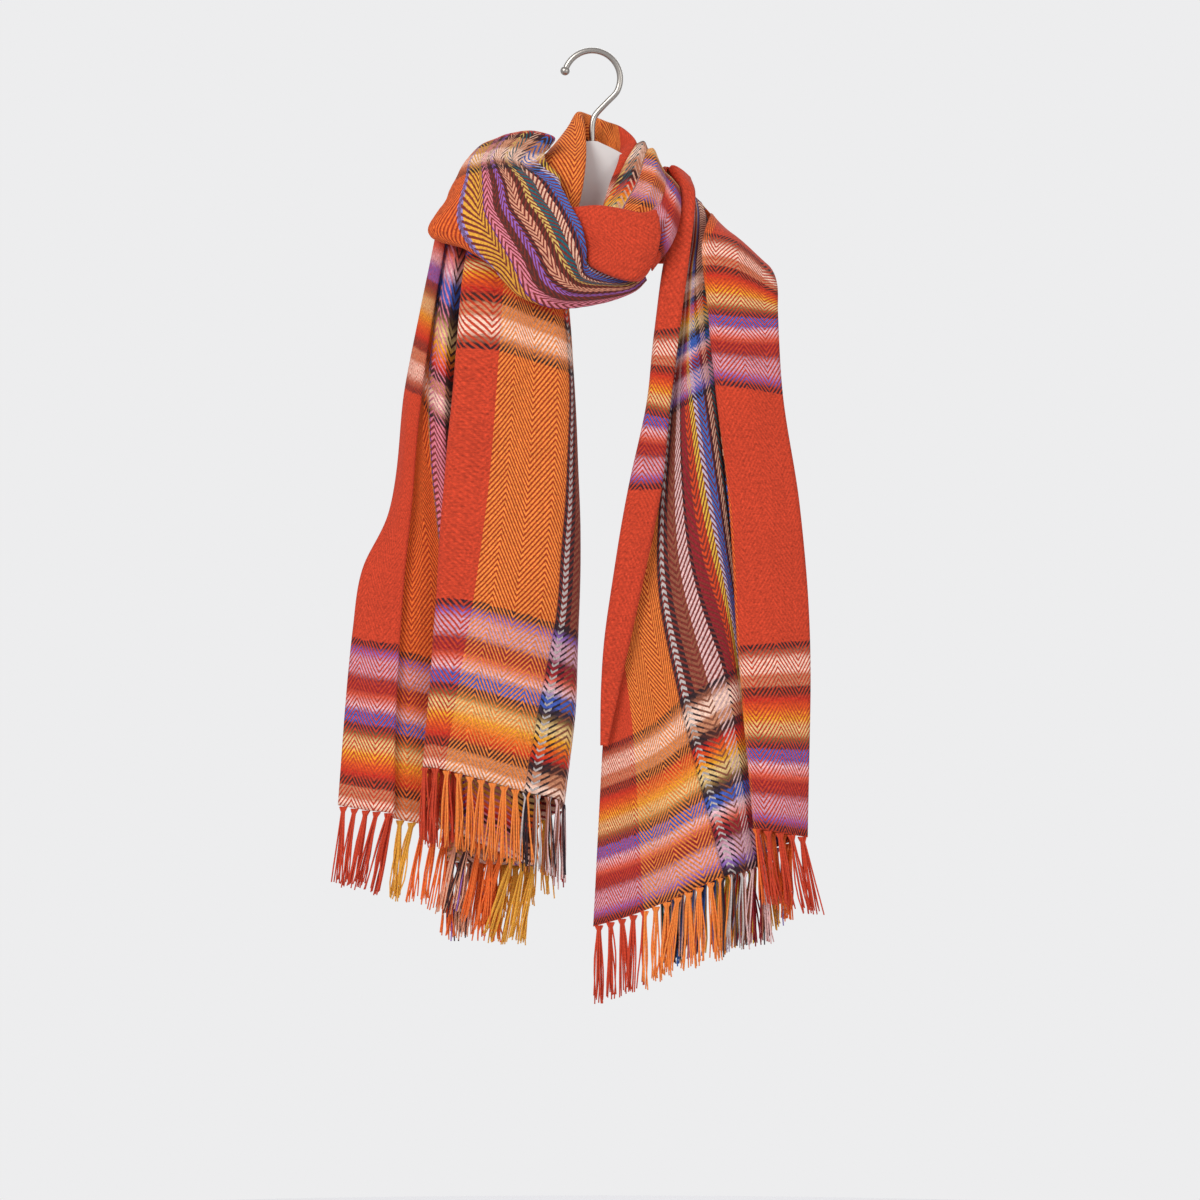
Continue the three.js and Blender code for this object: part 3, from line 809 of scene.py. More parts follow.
@dataclass
class ClothPass:
    """One stretch of the scarf, as a table of lines that run along it.

    points holds one row of [x, y, z] for each line. across and along hold the cloth's own lengths at each
    point, from the first selvedge and from the left hem: a row for each line, or one number where it is
    the same all along that line. tucks names the lines that lie deep in a fold, where cloth is hidden.
    """

    name: str
    points: Table
    across: Sequence[Any]
    along: Sequence[Any]
    held: Held
    slot: Slot
    rests_on: Sequence[str]
    spacing: float = 3.6
    creases: Sequence[Crease] = ()
    sway: float = 0.5
    tucks: Sequence[int] = ()
    ridges: Ridges | None = None
    grid: np.ndarray = field(init=False, repr=False, default=None)
    lengths: np.ndarray = field(init=False, repr=False, default=None)
    piece: bpy.types.Object = field(init=False, repr=False, default=None)

    @staticmethod
    def _table(rows: Sequence[Any], count: int) -> np.ndarray:
        """Returns rows as an array of lines by stations, where a lone number holds for its whole line."""
        return np.array([np.full(count, row, dtype=float) if np.isscalar(row) else row for row in rows])

    def _steps(self, values: np.ndarray, axis: int) -> int:
        """Returns how many steps a span gets for the wanted spacing along an axis."""
        gaps = np.linalg.norm(np.diff(values[..., :3], axis=axis), axis=-1)
        return int(np.clip(round(float(np.percentile(gaps, LONG_SPAN)) / self.spacing), *STEPS))

    def lay(self) -> None:
        """Works out the grid of places and of the cloth's own lengths."""
        places = np.array(self.points, dtype=float)
        stations = places.shape[1]
        lengths = np.stack([self._table(self.across, stations), self._table(self.along, stations)], axis=-1)
        values = np.concatenate([places, lengths], axis=-1)
        lines = smooth(values.transpose(1, 0, 2), self._steps(values, 1)).transpose(1, 0, 2)
        steps = self._steps(values, 0)
        rows = smooth(lines, steps)
        for tuck in self.tucks:
            self._hide(rows, lines, tuck, steps)
        rows = rows.transpose(1, 0, 2)
        grid = rows[..., :3]
        self.lengths = rows[..., 3:]
        self.lengths[..., 0] = np.clip(self.lengths[..., 0], 0.5, CLOTH_WIDTH - 0.5)
        self.grid = grid + normals(grid) * self._relief(grid)[..., None]

    @staticmethod
    def _hide(rows: np.ndarray, lines: np.ndarray, tuck: int, steps: int) -> None:
        """Lets the lengths run on true to size from both sides into a tuck, and jump only there.

        Args:
            rows: the fine table of places and lengths, changed in place.
            lines: the table's own lines.
            tuck: the number of the line in the tuck.
            steps: how many fine steps a span has.
        """
        near, deep, far = lines[tuck - 1], lines[tuck], lines[tuck + 1]
        turn = np.sign(far[:, 3] - near[:, 3])
        shares = np.linspace(0, 1, steps + 1)[:, None]
        first = rows[(tuck - 1) * steps:tuck * steps + 1]
        first[..., 3] = near[:, 3] + shares * turn * np.linalg.norm(deep[:, :3] - near[:, :3], axis=1)
        first[..., 4] = near[:, 4]
        second = rows[tuck * steps + 1:(tuck + 1) * steps + 1]
        inset = np.linalg.norm(far[:, :3] - deep[:, :3], axis=1)
        second[..., 3] = far[:, 3] - (1 - shares[1:]) * turn * inset
        second[..., 4] = far[:, 4]

    def _relief(self, grid: np.ndarray) -> np.ndarray:
        """Works out how far each place moves along its normal for creases, ridges and a slight sway.

        Args:
            grid: the places by line and station.

        Returns:
            The move of each, in millimetres.
        """
        across, along = self.lengths[..., 0], self.lengths[..., 1]
        waves = [share * np.sin(across / wide + along / far + phase) for share, wide, far, phase in SWAYS]
        move = self.sway * sum(waves)
        facing = np.clip(-normals(grid)[..., 1] * FRONT_GAIN, 0, 1)
        for crease in self.creases:
            move = move + crease.height(grid) * facing
        if self.ridges:
            move = move + self.ridges.move(across, along)
        return move

    def build(self, material: bpy.types.Material) -> bpy.types.Object:
        """Builds the shell and gives it to the frame.

        Args:
            material: the cloth's material.

        Returns:
            The new piece.
        """
        self.lay()
        rows, columns = self.grid.shape[:2]
        outward = normals(self.grid) * HALF_CLOTH
        places = np.concatenate([(self.grid + outward).reshape(-1, 3), (self.grid - outward).reshape(-1, 3)])
        uv = np.tile(self.lengths.reshape(-1, 2), (2, 1))
        numbers = np.arange(rows * columns).reshape(rows, columns)
        front = np.stack([numbers[:-1, :-1], numbers[:-1, 1:], numbers[1:, 1:], numbers[1:, :-1]], axis=-1)
        back = front[..., ::-1] + rows * columns
        rim = np.concatenate([numbers[0, :], numbers[1:, -1], numbers[-1, -2::-1], numbers[-2:0:-1, 0]])
        following = np.roll(rim, -1)
        sides = np.stack([rim, rim + rows * columns, following + rows * columns, following], axis=-1)
        faces = np.concatenate([front.reshape(-1, 4), back.reshape(-1, 4), sides])
        shell = build_mesh(f"{self.name}_cloth", places, faces, uv, material)
        self.piece = hand_over(shell, self.name)
        return self.piece

    def cut(self) -> tuple[float, float, float]:
        """Measures the cut of what shows on the shell's middle surface.

        Returns:
            Its greatest width and length in millimetres, and its area in square millimetres.
        """
        across = np.linalg.norm(np.diff(self.grid, axis=0), axis=-1)
        along = np.linalg.norm(np.diff(self.grid, axis=1), axis=-1)
        first = self.grid[1:, 1:] - self.grid[:-1, :-1]
        second = self.grid[1:, :-1] - self.grid[:-1, 1:]
        area = float(np.linalg.norm(np.cross(first, second), axis=-1).sum() / 2)
        return float(across.sum(axis=0).max()), float(along.sum(axis=1).max()), area

    def declare(self, on_it: Sequence[bpy.types.Object]) -> None:
        """Args:
            on_it: the fringe pieces that belong to it. It is not used.
        """
        width, length, area = self.cut()
        LOG.info("%s: cut %.0f by %.0f mm, %.4f square metres", self.name, width, length, area * MM * MM)

    def hem(self) -> np.ndarray:
        """Returns the hem's places with the cloth's own length across, as rows of x, y, z, u."""
        return np.concatenate([self.grid[0], self.lengths[0][:, :1]], axis=1)


# The cloth's tables

# A section is a row of places across the scarf, and a line is a row of places along it


@dataclass(frozen=True)
class HangingFold:
    """One line of the left end: its heights at the hem and the top, and its x and y at the stations."""

    hem: float
    top: float
    x: Row
    y: Row


LEFT_STATIONS = [0, 80, 150, 200, 250, 354, 420, 480]
LEFT_HEM = 19.0
# Between which of the left end's lines one fringe ends and the next begins
LEFT_PARTINGS = (9.5, 14.5)


def hidden(depth: float) -> Row:
    """Returns the depths along a line of a hidden layer, which lies further back towards the top."""
    return [depth + rise for rise in (0, 0, 0, 0, 1, 3, 5, 8)]


LEFT_FOLDS = [HangingFold(*row) for row in (
    (-642, -152, [-216, -210, -203, -195, -172, -159, -146, -132], [-42, -42, -42, -42, -42, -42, -40, -34]),
    (-646, -153, [-192, -189, -184, -178, -164, -153, -141, -128], [-50, -50, -50, -50, -50, -49, -44, -37]),
    (-649, -154, [-169, -167, -163, -160, -155, -146, -137, -124], [-54, -54, -54, -53, -52, -50, -43, -36]),
    (-652, -155, [-171, -169, -166, -163, -157, -147, -138, -126], [-48, -48, -48, -47, -46, -44, -38, -31]),
    (-657, -156, [-150, -149, -147, -145, -144, -143, -136, -125], [-45, -45, -45, -45, -44, -43, -34, -27]),
    (-664, -156, [-122, -122, -124, -126, -131, -139, -134, -121], [-43, -43, -43, -43, -42, -42, -38, -31]),
    (-674, -156, [-96, -100, -106, -112, -121, -128, -126, -116], [-45, -46, -46, -47, -50, -56, -51, -38]),
    (-684, -156, [-74, -76, -80, -86, -98, -110, -110, -104], [-43, -43, -43, -43, -42, -40, -37, -32]),
    (-692, -156, [-55, -57, -59, -61, -64, -68, -68, -64], hidden(-41)),
    (-694, -156, [-48, -50, -52, -54, -57, -61, -61, -57], hidden(-36)),
    (-694, -156, [-55, -57, -59, -61, -64, -68, -68, -64], hidden(-31)),
    (-690, -156, [-118, -116, -114, -112, -112, -112, -108, -100], hidden(-31)),
    (-689, -156, [-125, -123, -121, -119, -119, -119, -115, -107], hidden(-26)),
    (-688, -156, [-118, -116, -114, -112, -112, -112, -108, -100], hidden(-21)),
    (-660, -156, [-50, -42, -40, -38, -39, -43, -46, -52], hidden(-25)),
    (-640, -156, [-24, -15, -12, -10, -11, -16, -21, -28], [-44, -44, -44, -44, -42, -38, -32, -29]),
    (-630, -156, [-58, -44, -31, -27, -23, -20, -26, -31], [-62, -63, -63, -63, -62, -56, -47, -42]),
    (-620, -156, [-92, -79, -66, -60, -55, -50, -51, -47], [-67, -68, -68, -68, -67, -61, -50, -45]),
    (-611, -156, [-126, -113, -101, -94, -88, -80, -75, -66], [-67, -67, -67, -67, -66, -61, -51, -46]),
    (-609, -157, [-140, -133, -128, -125, -121, -112, -106, -98], [-65, -65, -65, -65, -64, -60, -51, -47]),
    (-610, -157, [-143, -136, -131, -128, -124, -115, -109, -101],
     [-60, -60, -60, -60, -59, -56, -47, -42.5]),
    (-611, -157, [-112, -106, -103, -102, -99, -93, -88, -85], [-57, -57, -57, -57, -56, -52, -42.5, -38]),
)]
LEFT_ACROSS = [
    504.5, 480, 457, 449,
    [428, 428, 428, 426, 420, 392, 384, 382], [388, 388, 388, 386, 380, 352, 350, 350],
    [336, 336, 336, 336, 334, 332, 331, 331], [330, 330, 330, 328, 324, 312, 310, 310],
    [322, 322, 322, 320, 316, 303, 299, 299], [321, 321, 321, 319, 314, 301, 296, 296],
    [314, 314, 314, 312, 308, 296, 292, 292],
    262, 255, 248, 190, 160, 126, 93, 60, 44, 38, 8,
]

COLLAR_SECTIONS = [
    [[-66, -46, -154.4], [-47, -45, -154.4], [-31, -42, -154.4], [-27, -35, -154.4], [-29, -29, -154.4]],
    [[-52, -36, -142], [-35, -42, -143], [-18, -45, -144], [-15, -39, -144], [-17, -33, -143]],
    [[-49, -31, -127], [-29, -41, -129], [-13, -44, -131], [-11.5, -38, -131], [-14, -32, -130]],
    [[-52, -26, -108], [-28, -36, -110], [-8.5, -38, -110], [-8, -32, -110], [-10, -26, -110]],
    [[-52, -18, -93], [-27, -27, -91], [-6.5, -29, -90], [-6, -23, -90], [-8, -17, -92]],
    [[-40, -6, -87], [-25, -15, -79], [-6.5, -18, -77], [-6, -13, -74], [-8, -9, -72]],
    [[-34, 5, -80], [-22, -1, -69], [-8.5, -6, -60], [-7, -1, -60], [-8, 2, -64]],
    [[-28, 19, -76], [-19, 14, -62], [-12, 9, -50], [-8, 9, -53], [-7, 10, -66]],
    [[-8, 29, -90], [-3, 25, -64], [-1, 19, -52.5], [0, 14.5, -58], [1, 12, -84]],
    [[13, 30, -97], [12, 26, -68], [11, 20, -57], [11, 15, -66], [11, 12, -92]],
    [[33, 27, -103], [28, 23, -74], [25, 17, -63], [23.5, 12.5, -76], [21, 11, -92]],
    [[41, 10, -92], [39, 7, -83], [37, 3, -75.5], [31, 1, -79.8], [24, 0, -83.8]],
    [[40, -7.6, -94.4], [37, -8.6, -91.6], [34, -9.5, -89], [29, -11, -90], [22.5, -12, -93.5]],
    [[32, -14, -108], [29, -16, -107.5], [26, -18, -107], [21, -19, -108], [16, -20, -110]],
    [[20, -28, -130], [17, -29, -131], [14, -30.5, -132], [11.5, -31, -132], [9, -31.5, -133]],
]
COLLAR_ACROSS = [
    [57, 76, 92, 98, 103], *[[59, 82, 103, 108, 113]] * 5, [60, 83, 103, 108, 113], [60, 84, 102, 108, 122],
    [57, 82, 98, 104, 130], [44, 67, 84, 93, 119], [24, 41, 54, 66, 82], [6, 14, 24, 31, 38],
    [4, 10, 18, 24, 31], [2, 8, 14, 20, 26], [2, 8, 12, 16, 20],
]
COLLAR_ALONG = [506, 524, 539, 558, 577, 595, 613, 631, 650, 664, 678, 706, 728, 752, 780]

RIGHT_FOLD_SECTIONS = [
    [[26, 33, -80], [27, 34, -86], [28, 34, -94], [30, 34, -104], [32, 34, -116], [34, 33, -128],
     [35, 32, -138]],
    [[43, 21, -88], [46, 23, -84], [49, 27, -91], [53, 25, -91], [57, 29, -107], [61, 27, -119],
     [64, 29, -130]],
    [[40.6, 6, -79.4], [45, 5, -76.5], [49, 10, -84], [53, 7, -83], [59, 13, -102], [65, 10, -111],
     [68, 14, -121]],
    [[39, -5, -77.5], [43.5, -8, -76], [47, -3, -82], [52, -10, -83], [61, -3, -100], [68, -12, -107],
     [73.6, -7.4, -114]],
    [[31, -16, -90], [38, -22, -89], [43, -18, -94], [54, -28, -98], [62, -21, -109], [71, -32, -121],
     [75.6, -26, -128]],
    [[20, -28, -113], [30, -35, -111], [37, -31, -113], [48, -42, -117], [59, -35, -125], [69, -47, -140],
     [74, -39, -146]],
    [[9.5, -40, -134], [18, -46, -133], [26, -43, -134], [37, -54, -137], [48, -48, -139], [64, -58, -161],
     [67, -51, -166]],
    [[3, -43, -150], [10, -48, -151], [16, -46, -154], [26, -53, -158], [36, -50, -164], [50, -55, -181],
     [51, -49, -188]],
]
RIGHT_FOLD_ACROSS = [262, 248, 200, 96, 70, 28, 2]
RIGHT_FOLD_ALONG = [
    [698, 700, 716, 752, 748, 745, 745], [720, 722, 744, 778, 780, 780, 778],
    [740, 742, 762, 798, 800, 799, 797], [752, 756, 775, 815, 816, 820, 818],
    [768, 773, 790, 846, 842, 845, 842], [790, 794, 812, 884, 874, 870, 868],
    [812, 818, 836, 914, 904, 895, 893], [826, 832, 850, 936, 926, 920, 918],
]

TURN_SECTIONS = [
    [[-11, -51, -143], [5, -56, -140], [27, -59, -143], [43, -60, -146], [50, -56, -144]],
    [[-17, -60, -135], [5, -65, -133.5], [27, -68, -137], [43, -69, -140], [54, -65, -137]],
    [[-15, -62, -151], [8, -70, -153], [28, -73, -155], [45, -72, -156], [58, -66, -155]],
    [[-6, -62, -168], [12, -70, -172], [28, -74, -174], [43, -72, -175], [54.5, -65, -175]],
    [[-2, -64, -183], [10, -67, -189], [26, -71, -194], [37, -70, -195], [47.5, -63, -190]],
    [[3, -58, -186], [13, -61, -191], [25, -63, -195.5], [33, -62, -197], [41, -58, -197]],
]
TURN_ACROSS = [58, 50, 33, 16, 2, 0.5]
TURN_ALONG = [988, 966, 944, 928, 915]

COWL_SECTIONS = [
    [[43, -42, -170], [44, -42, -187], [45, -43, -190], [45.5, -44, -193], [46, -43, -195], [46, -40, -195],
     [44, -37, -192]],
    [[28, -42, -172], [29, -51, -197], [31, -54, -201], [34, -55, -203], [36, -53, -204], [37, -48, -204],
     [34, -43, -201]],
    [[10, -42, -173], [11, -57, -197], [12, -62, -202], [14, -64, -207], [15, -62, -211], [16, -56, -213],
     [14, -48, -211]],
    [[-10, -52, -175], [-6, -68, -188], [-13, -75, -198], [-20, -78, -207], [-27, -75, -215],
     [-31, -66, -219], [-27, -57, -215]],
    [[-9, -64, -171], [-6, -70, -170], [-20, -79, -183], [-36, -83, -196], [-51, -79, -207], [-61, -68, -212],
     [-54, -58, -206]],
    [[-14, -65, -152], [-11, -71, -151], [-29, -81, -162], [-48, -86, -172], [-68, -81, -182],
     [-84, -68, -185], [-75, -57, -180]],
    [[-22, -63, -137], [-19, -69, -136], [-37, -80, -144], [-61, -86, -151], [-87, -81, -160],
     [-110, -64, -170], [-100, -54, -166]],
    [[-29, -60, -124], [-26, -66, -123], [-44, -77, -128], [-68, -84, -133], [-98, -79, -141],
     [-138, -56, -155], [-124, -48, -154]],
    [[-29, -47, -109], [-33, -61, -113], [-50, -73, -114], [-71, -80, -116], [-97, -75, -121],
     [-123, -54, -128], [-117, -44, -131]],
    [[-37, -41, -99], [-46, -55, -105], [-60, -67, -104], [-78, -73, -103], [-96, -67, -105],
     [-116, -48, -111], [-111, -38, -114]],
    [[-41, -34, -89], [-56, -45, -95], [-68, -55, -92], [-81, -61, -91], [-95, -55, -94], [-110, -38, -97],
     [-107, -29, -101]],
    [[-36, -25, -80], [-32, -31, -74.5], [-48, -38, -69.5], [-67, -40, -71.5], [-83, -36, -76],
     [-97, -24, -83], [-94, -15, -89]],
    [[-48, -3, -83], [-43, -9, -76], [-54, -13, -71.5], [-70, -15, -72], [-86, -11, -78], [-98, -1, -87],
     [-92, 3, -94]],
    [[-48, 19, -88], [-43, 16, -82], [-54, 14, -76], [-70, 13, -77], [-84, 16, -84], [-94, 23, -97],
     [-89, 23, -104]],
]
COWL_ACROSS = [
    [188, 218, 262, 295, 322, 340, 354], [190, 224, 270, 300, 326, 342, 356],
    [192, 224, 270, 300, 328, 344, 360], [196, 222, 268, 302, 334, 352, 368],
    [210, 220, 258, 300, 342, 366, 380], [208, 218, 257, 300, 350, 382, 400],
    [208, 218, 256, 300, 361, 396, 440], [206, 217, 250, 292, 364, 412, 470],
    [200, 219, 248, 290, 362, 408, 464], [196, 222, 250, 292, 360, 404, 440],
    [198, 220, 248, 290, 356, 398, 418], [206, 216, 246, 290, 350, 390, 410],
    [206, 216, 246, 290, 346, 386, 404], [206, 216, 246, 290, 346, 386, 404],
]
COWL_ALONG = [930, 946, 966, 1004, 1024, 1040, 1065, 1085, 1103, 1119, 1136, 1168, 1193, 1221]

BACK_SECTIONS = [
    [[-48, 20.3, -88.5], [-43, 17.3, -82.5], [-54, 15.3, -76.5], [-70, 14.3, -77.5], [-84, 17.3, -84.5],
     [-94, 24.3, -97.5], [-89, 24.3, -104.5]],
    [[-46, 30, -93], [-42, 29, -85], [-51, 32, -79], [-65, 34, -83], [-77, 36, -92], [-88, 38, -107],
     [-84, 35, -114]],
    [[-41, 35, -96], [-38, 39, -86], [-46, 44, -86], [-58, 48, -101], [-68, 49, -120], [-75, 46, -141],
     [-71, 40, -147]],
    [[-12, 39, -84], [-10, 44, -74], [-12, 51, -84], [-15, 55, -108], [-17, 54, -134], [-18, 49, -160],
     [-16, 42, -165]],
    [[20, 41, -90], [20, 46, -80], [21, 52, -90], [22, 56, -114], [23, 55, -142], [23, 50, -170],
     [21, 43, -175]],
    [[50, 41, -108], [52, 45, -95], [57, 50, -105], [63, 51, -126], [69, 49, -150], [74, 45, -172],
     [73, 38, -178]],
    [[61, 36, -107], [62, 39, -95.5], [72, 42, -107], [84, 44, -128], [96, 42, -149], [108, 39, -170],
     [113, 34, -179]],
    [[63, 15.5, -103], [65, 17.8, -97], [79, 19.2, -112], [93, 20.6, -127], [106, 21.8, -142],
     [119, 24, -159], [132, 26.2, -176]],
]
BACK_ACROSS = [
    [206, 216, 246, 290, 346, 386, 404], [204, 216, 246, 290, 346, 388, 406],
    [200, 216, 248, 292, 348, 392, 412], [196, 214, 250, 300, 356, 410, 436],
    [192, 212, 254, 310, 368, 424, 450], [186, 208, 258, 322, 386, 444, 470],
    [14, 34, 190, 334, 420, 466, 494], [8, 20, 90, 330, 442, 468, 504.5],
]
BACK_ALONG = [
    [1221] * 7, [1243] * 7, [1267] * 7, [1306, 1307, 1308, 1311, 1312, 1313, 1313],
    [1336, 1338, 1342, 1348, 1351, 1353, 1354], [1360, 1364, 1372, 1391, 1398, 1402, 1404],
    [1368, 1374, 1386, 1413, 1422, 1430, 1434], [1376, 1382, 1400, 1436, 1445, 1452, 1455],
]

RIGHT_LINES = [
    [[1, -46, -745], [9, -48, -592], [15, -49.5, -486], [33, -51, -375], [48, -51, -303], [55, -48, -236],
     [64, -33, -176], [78.5, -6, -122], [68, 16, -101]],
    [[32, -46, -736], [32, -49, -582], [27, -51, -477], [42, -51.5, -360], [56, -51.5, -288], [63, -48, -224],
     [70, -32, -174], [81, -6, -126], [73.5, 17, -106.5]],
    [[68, -47, -722], [54, -50, -570], [40, -52, -464], [53, -52, -342], [64, -52, -270], [70, -48, -211],
     [77, -30, -170], [83, -6, -130], [79, 18, -112.5]],
    [[113, -51, -702], [75, -52, -552], [56, -53, -447], [65, -52, -314], [74, -50, -247], [79, -43, -192],
     [84, -28, -164], [86, -5, -134], [84, 18.5, -118]],
    [[123, -55, -700], [98, -59, -538], [82, -60, -434], [80, -57, -303], [84, -52, -239], [87, -43, -187],
     [90, -26, -161], [91, -4, -137], [89, 19, -123.5]],
    [[131, -52, -698], [119, -52, -526], [107, -52, -420], [94, -51, -295], [92, -46, -233], [92, -38, -183],
     [95, -23, -159], [96, -2, -140], [94, 19.5, -128]],
    [[141, -46, -694], [130, -46, -522], [118, -46, -416], [105, -45, -290], [101, -40, -228],
     [99, -32, -182], [100, -17, -160], [101, 1, -149], [97, 18, -137]],
]
# The last two lines, by the right panel's edge, take the cloth's own dark brown and dark teal stripes, placed
# there as painted shade of the gap between the striped cloth and the panel
RIGHT_ACROSS = [
    [2, 8, 26, 32, 25, 27, 22, 18, 20], [46, 56, 66, 70, 70, 72, 66, 60, 60],
    [88, 92, 100, 106, 110, 108, 100, 95, 92], [127, 127, 127, 127, 127, 128, 130, 132, 134],
    [137, 155, 168, 190, 218, 228, 230, 231, 232], [153, 184, 212, 229, 240, 242, 243, 243, 243],
    [171, 236, 250, 256, 260, 258, 258, 258, 258],
]
RIGHT_ALONG = [2028, 1865, 1760, 1655, 1572, 1492, 1436, 1380, 1353]

FLAP_LINES = [
    [[13, -53, -592], [24, -56, -540], [36, -60, -486], [59, -63, -374], [66, -63, -306], [75, -59, -234],
     [84, -45, -166], [88, -22, -123], [84, 4, -106]],
    [[10, -54, -591], [16, -57, -540], [24, -61, -486], [45, -64, -375], [57, -64, -304], [65, -59, -235],
     [73, -44, -170], [83, -19, -118], [76, 9, -99]],
    [[8, -53, -591], [9, -56, -539], [14, -60, -486], [32, -63, -375], [48, -63, -302], [55, -58, -236],
     [64, -43, -174], [78.5, -15, -116.5], [68.5, 13, -95.5]],
    [[8, -49.6, -591], [9.5, -50.4, -539], [13.5, -51.2, -486], [31.5, -52.8, -375], [46.5, -52.8, -302],
     [53.5, -49.8, -236], [62.5, -35, -175.5], [76.5, -8.5, -119.5], [66.5, 15, -98.9]],
]
FLAP_ACROSS = [
    0.5, [2, 7, 12, 14, 9, 10, 8, 6, 10], [4, 12, 20, 26, 19, 21, 15, 13, 16],
    [8, 16, 26, 32, 25, 27, 22, 18, 20],
]
FLAP_ALONG = [1864, 1812, 1760, 1655, 1574, 1490, 1434, 1380, 1353]

PANEL_LINES = [
    [[149, -51, -663], [136, -51, -508], [129, -51, -392], [115, -50, -287], [110, -45, -222],
     [106, -38, -173], [107, -23, -160], [108, -4, -154], [102, 14, -151]],
    [[138, -56, -661], [124, -57, -506], [117, -57, -391], [105, -56, -286], [99, -51, -220], [94, -45, -167],
     [97, -31, -151], [101, -10, -140], [102, 20, -136]],
    [[160, -60, -665], [154, -61, -503], [145, -61, -389], [131, -59, -289], [124, -53, -222],
     [118, -45, -170], [118, -28, -157], [118, -5, -154], [115, 22, -155]],
    [[183, -53, -669], [185, -54, -501], [176, -54, -386], [162, -52, -294], [158, -46, -225],
     [157, -36, -198], [152, -18, -184], [143, 3, -177], [131, 24.2, -176.6]],
]
PANEL_ACROSS = [
    [430, 430, 430, 433, 432, 424, 418, 416, 416], [442, 442, 442, 446, 444, 438, 432, 430, 430],
    [468, 472, 472, 473, 471, 468, 466, 466, 466], 504.5,
]
PANEL_ALONG = [2028, 1865, 1752, 1655, 1577, 1508, 1486, 1468, 1455]

PLEAT_LINES = [
    [[141.7, -45.6, -694], [130.7, -45.6, -522], [118.7, -45.6, -416], [105.7, -44.6, -290]],
    [[149, -41, -693], [138, -41, -521], [126, -41, -415], [112, -41, -290]],
    [[142, -37, -694], [131, -37, -522], [119, -37, -416], [106, -37, -291]],
    [[66, -36, -712], [46, -37, -560], [42, -37, -440], [56, -36, -300]],
    [[59, -31, -712], [39, -32, -560], [35, -32, -440], [50, -31, -300]],
    [[66, -26, -712], [46, -27, -560], [42, -27, -440], [56, -26, -300]],
    [[162, -30, -676], [158, -31, -520], [150, -31, -400], [136, -29, -300]],
    [[170, -37, -672], [166, -38, -516], [158, -38, -398], [143, -36, -294]],
    [[163, -44, -666], [158, -45, -511], [150, -45, -394], [136, -43, -289]],
    [[150, -50.6, -663], [137, -50.6, -508], [130, -50.6, -392], [116, -49.6, -287]],
]
PLEAT_ACROSS = [
    [158, 195, 216, 254], [168, 202, 224, 260], [176, 208, 230, 266], [246, 262, 272, 296],
    [254, 268, 278, 302], [262, 274, 284, 308], [384, 390, 392, 396], [396, 400, 402, 408],
    [408, 412, 414, 420], [430, 430, 430, 433],
]
PLEAT_ALONG = [2028, 1865, 1760, 1655]


def turned(sections: Sequence[Sequence[Any]]) -> list[list[Any]]:
    """Returns a table of sections across the cloth as lines along it."""
    return [list(line) for line in zip(*sections)]


def left_lines() -> Table:
    """Works out the left end's lines, whose heights follow the length from the hem.

    Returns:
        For each line, its places.
    """
    lines = []
    for fold in LEFT_FOLDS:
        heights = [fold.hem + station for station in LEFT_STATIONS[:-1]] + [fold.top]
        lines.append([list(place) for place in zip(fold.x, fold.y, heights)])
    return lines


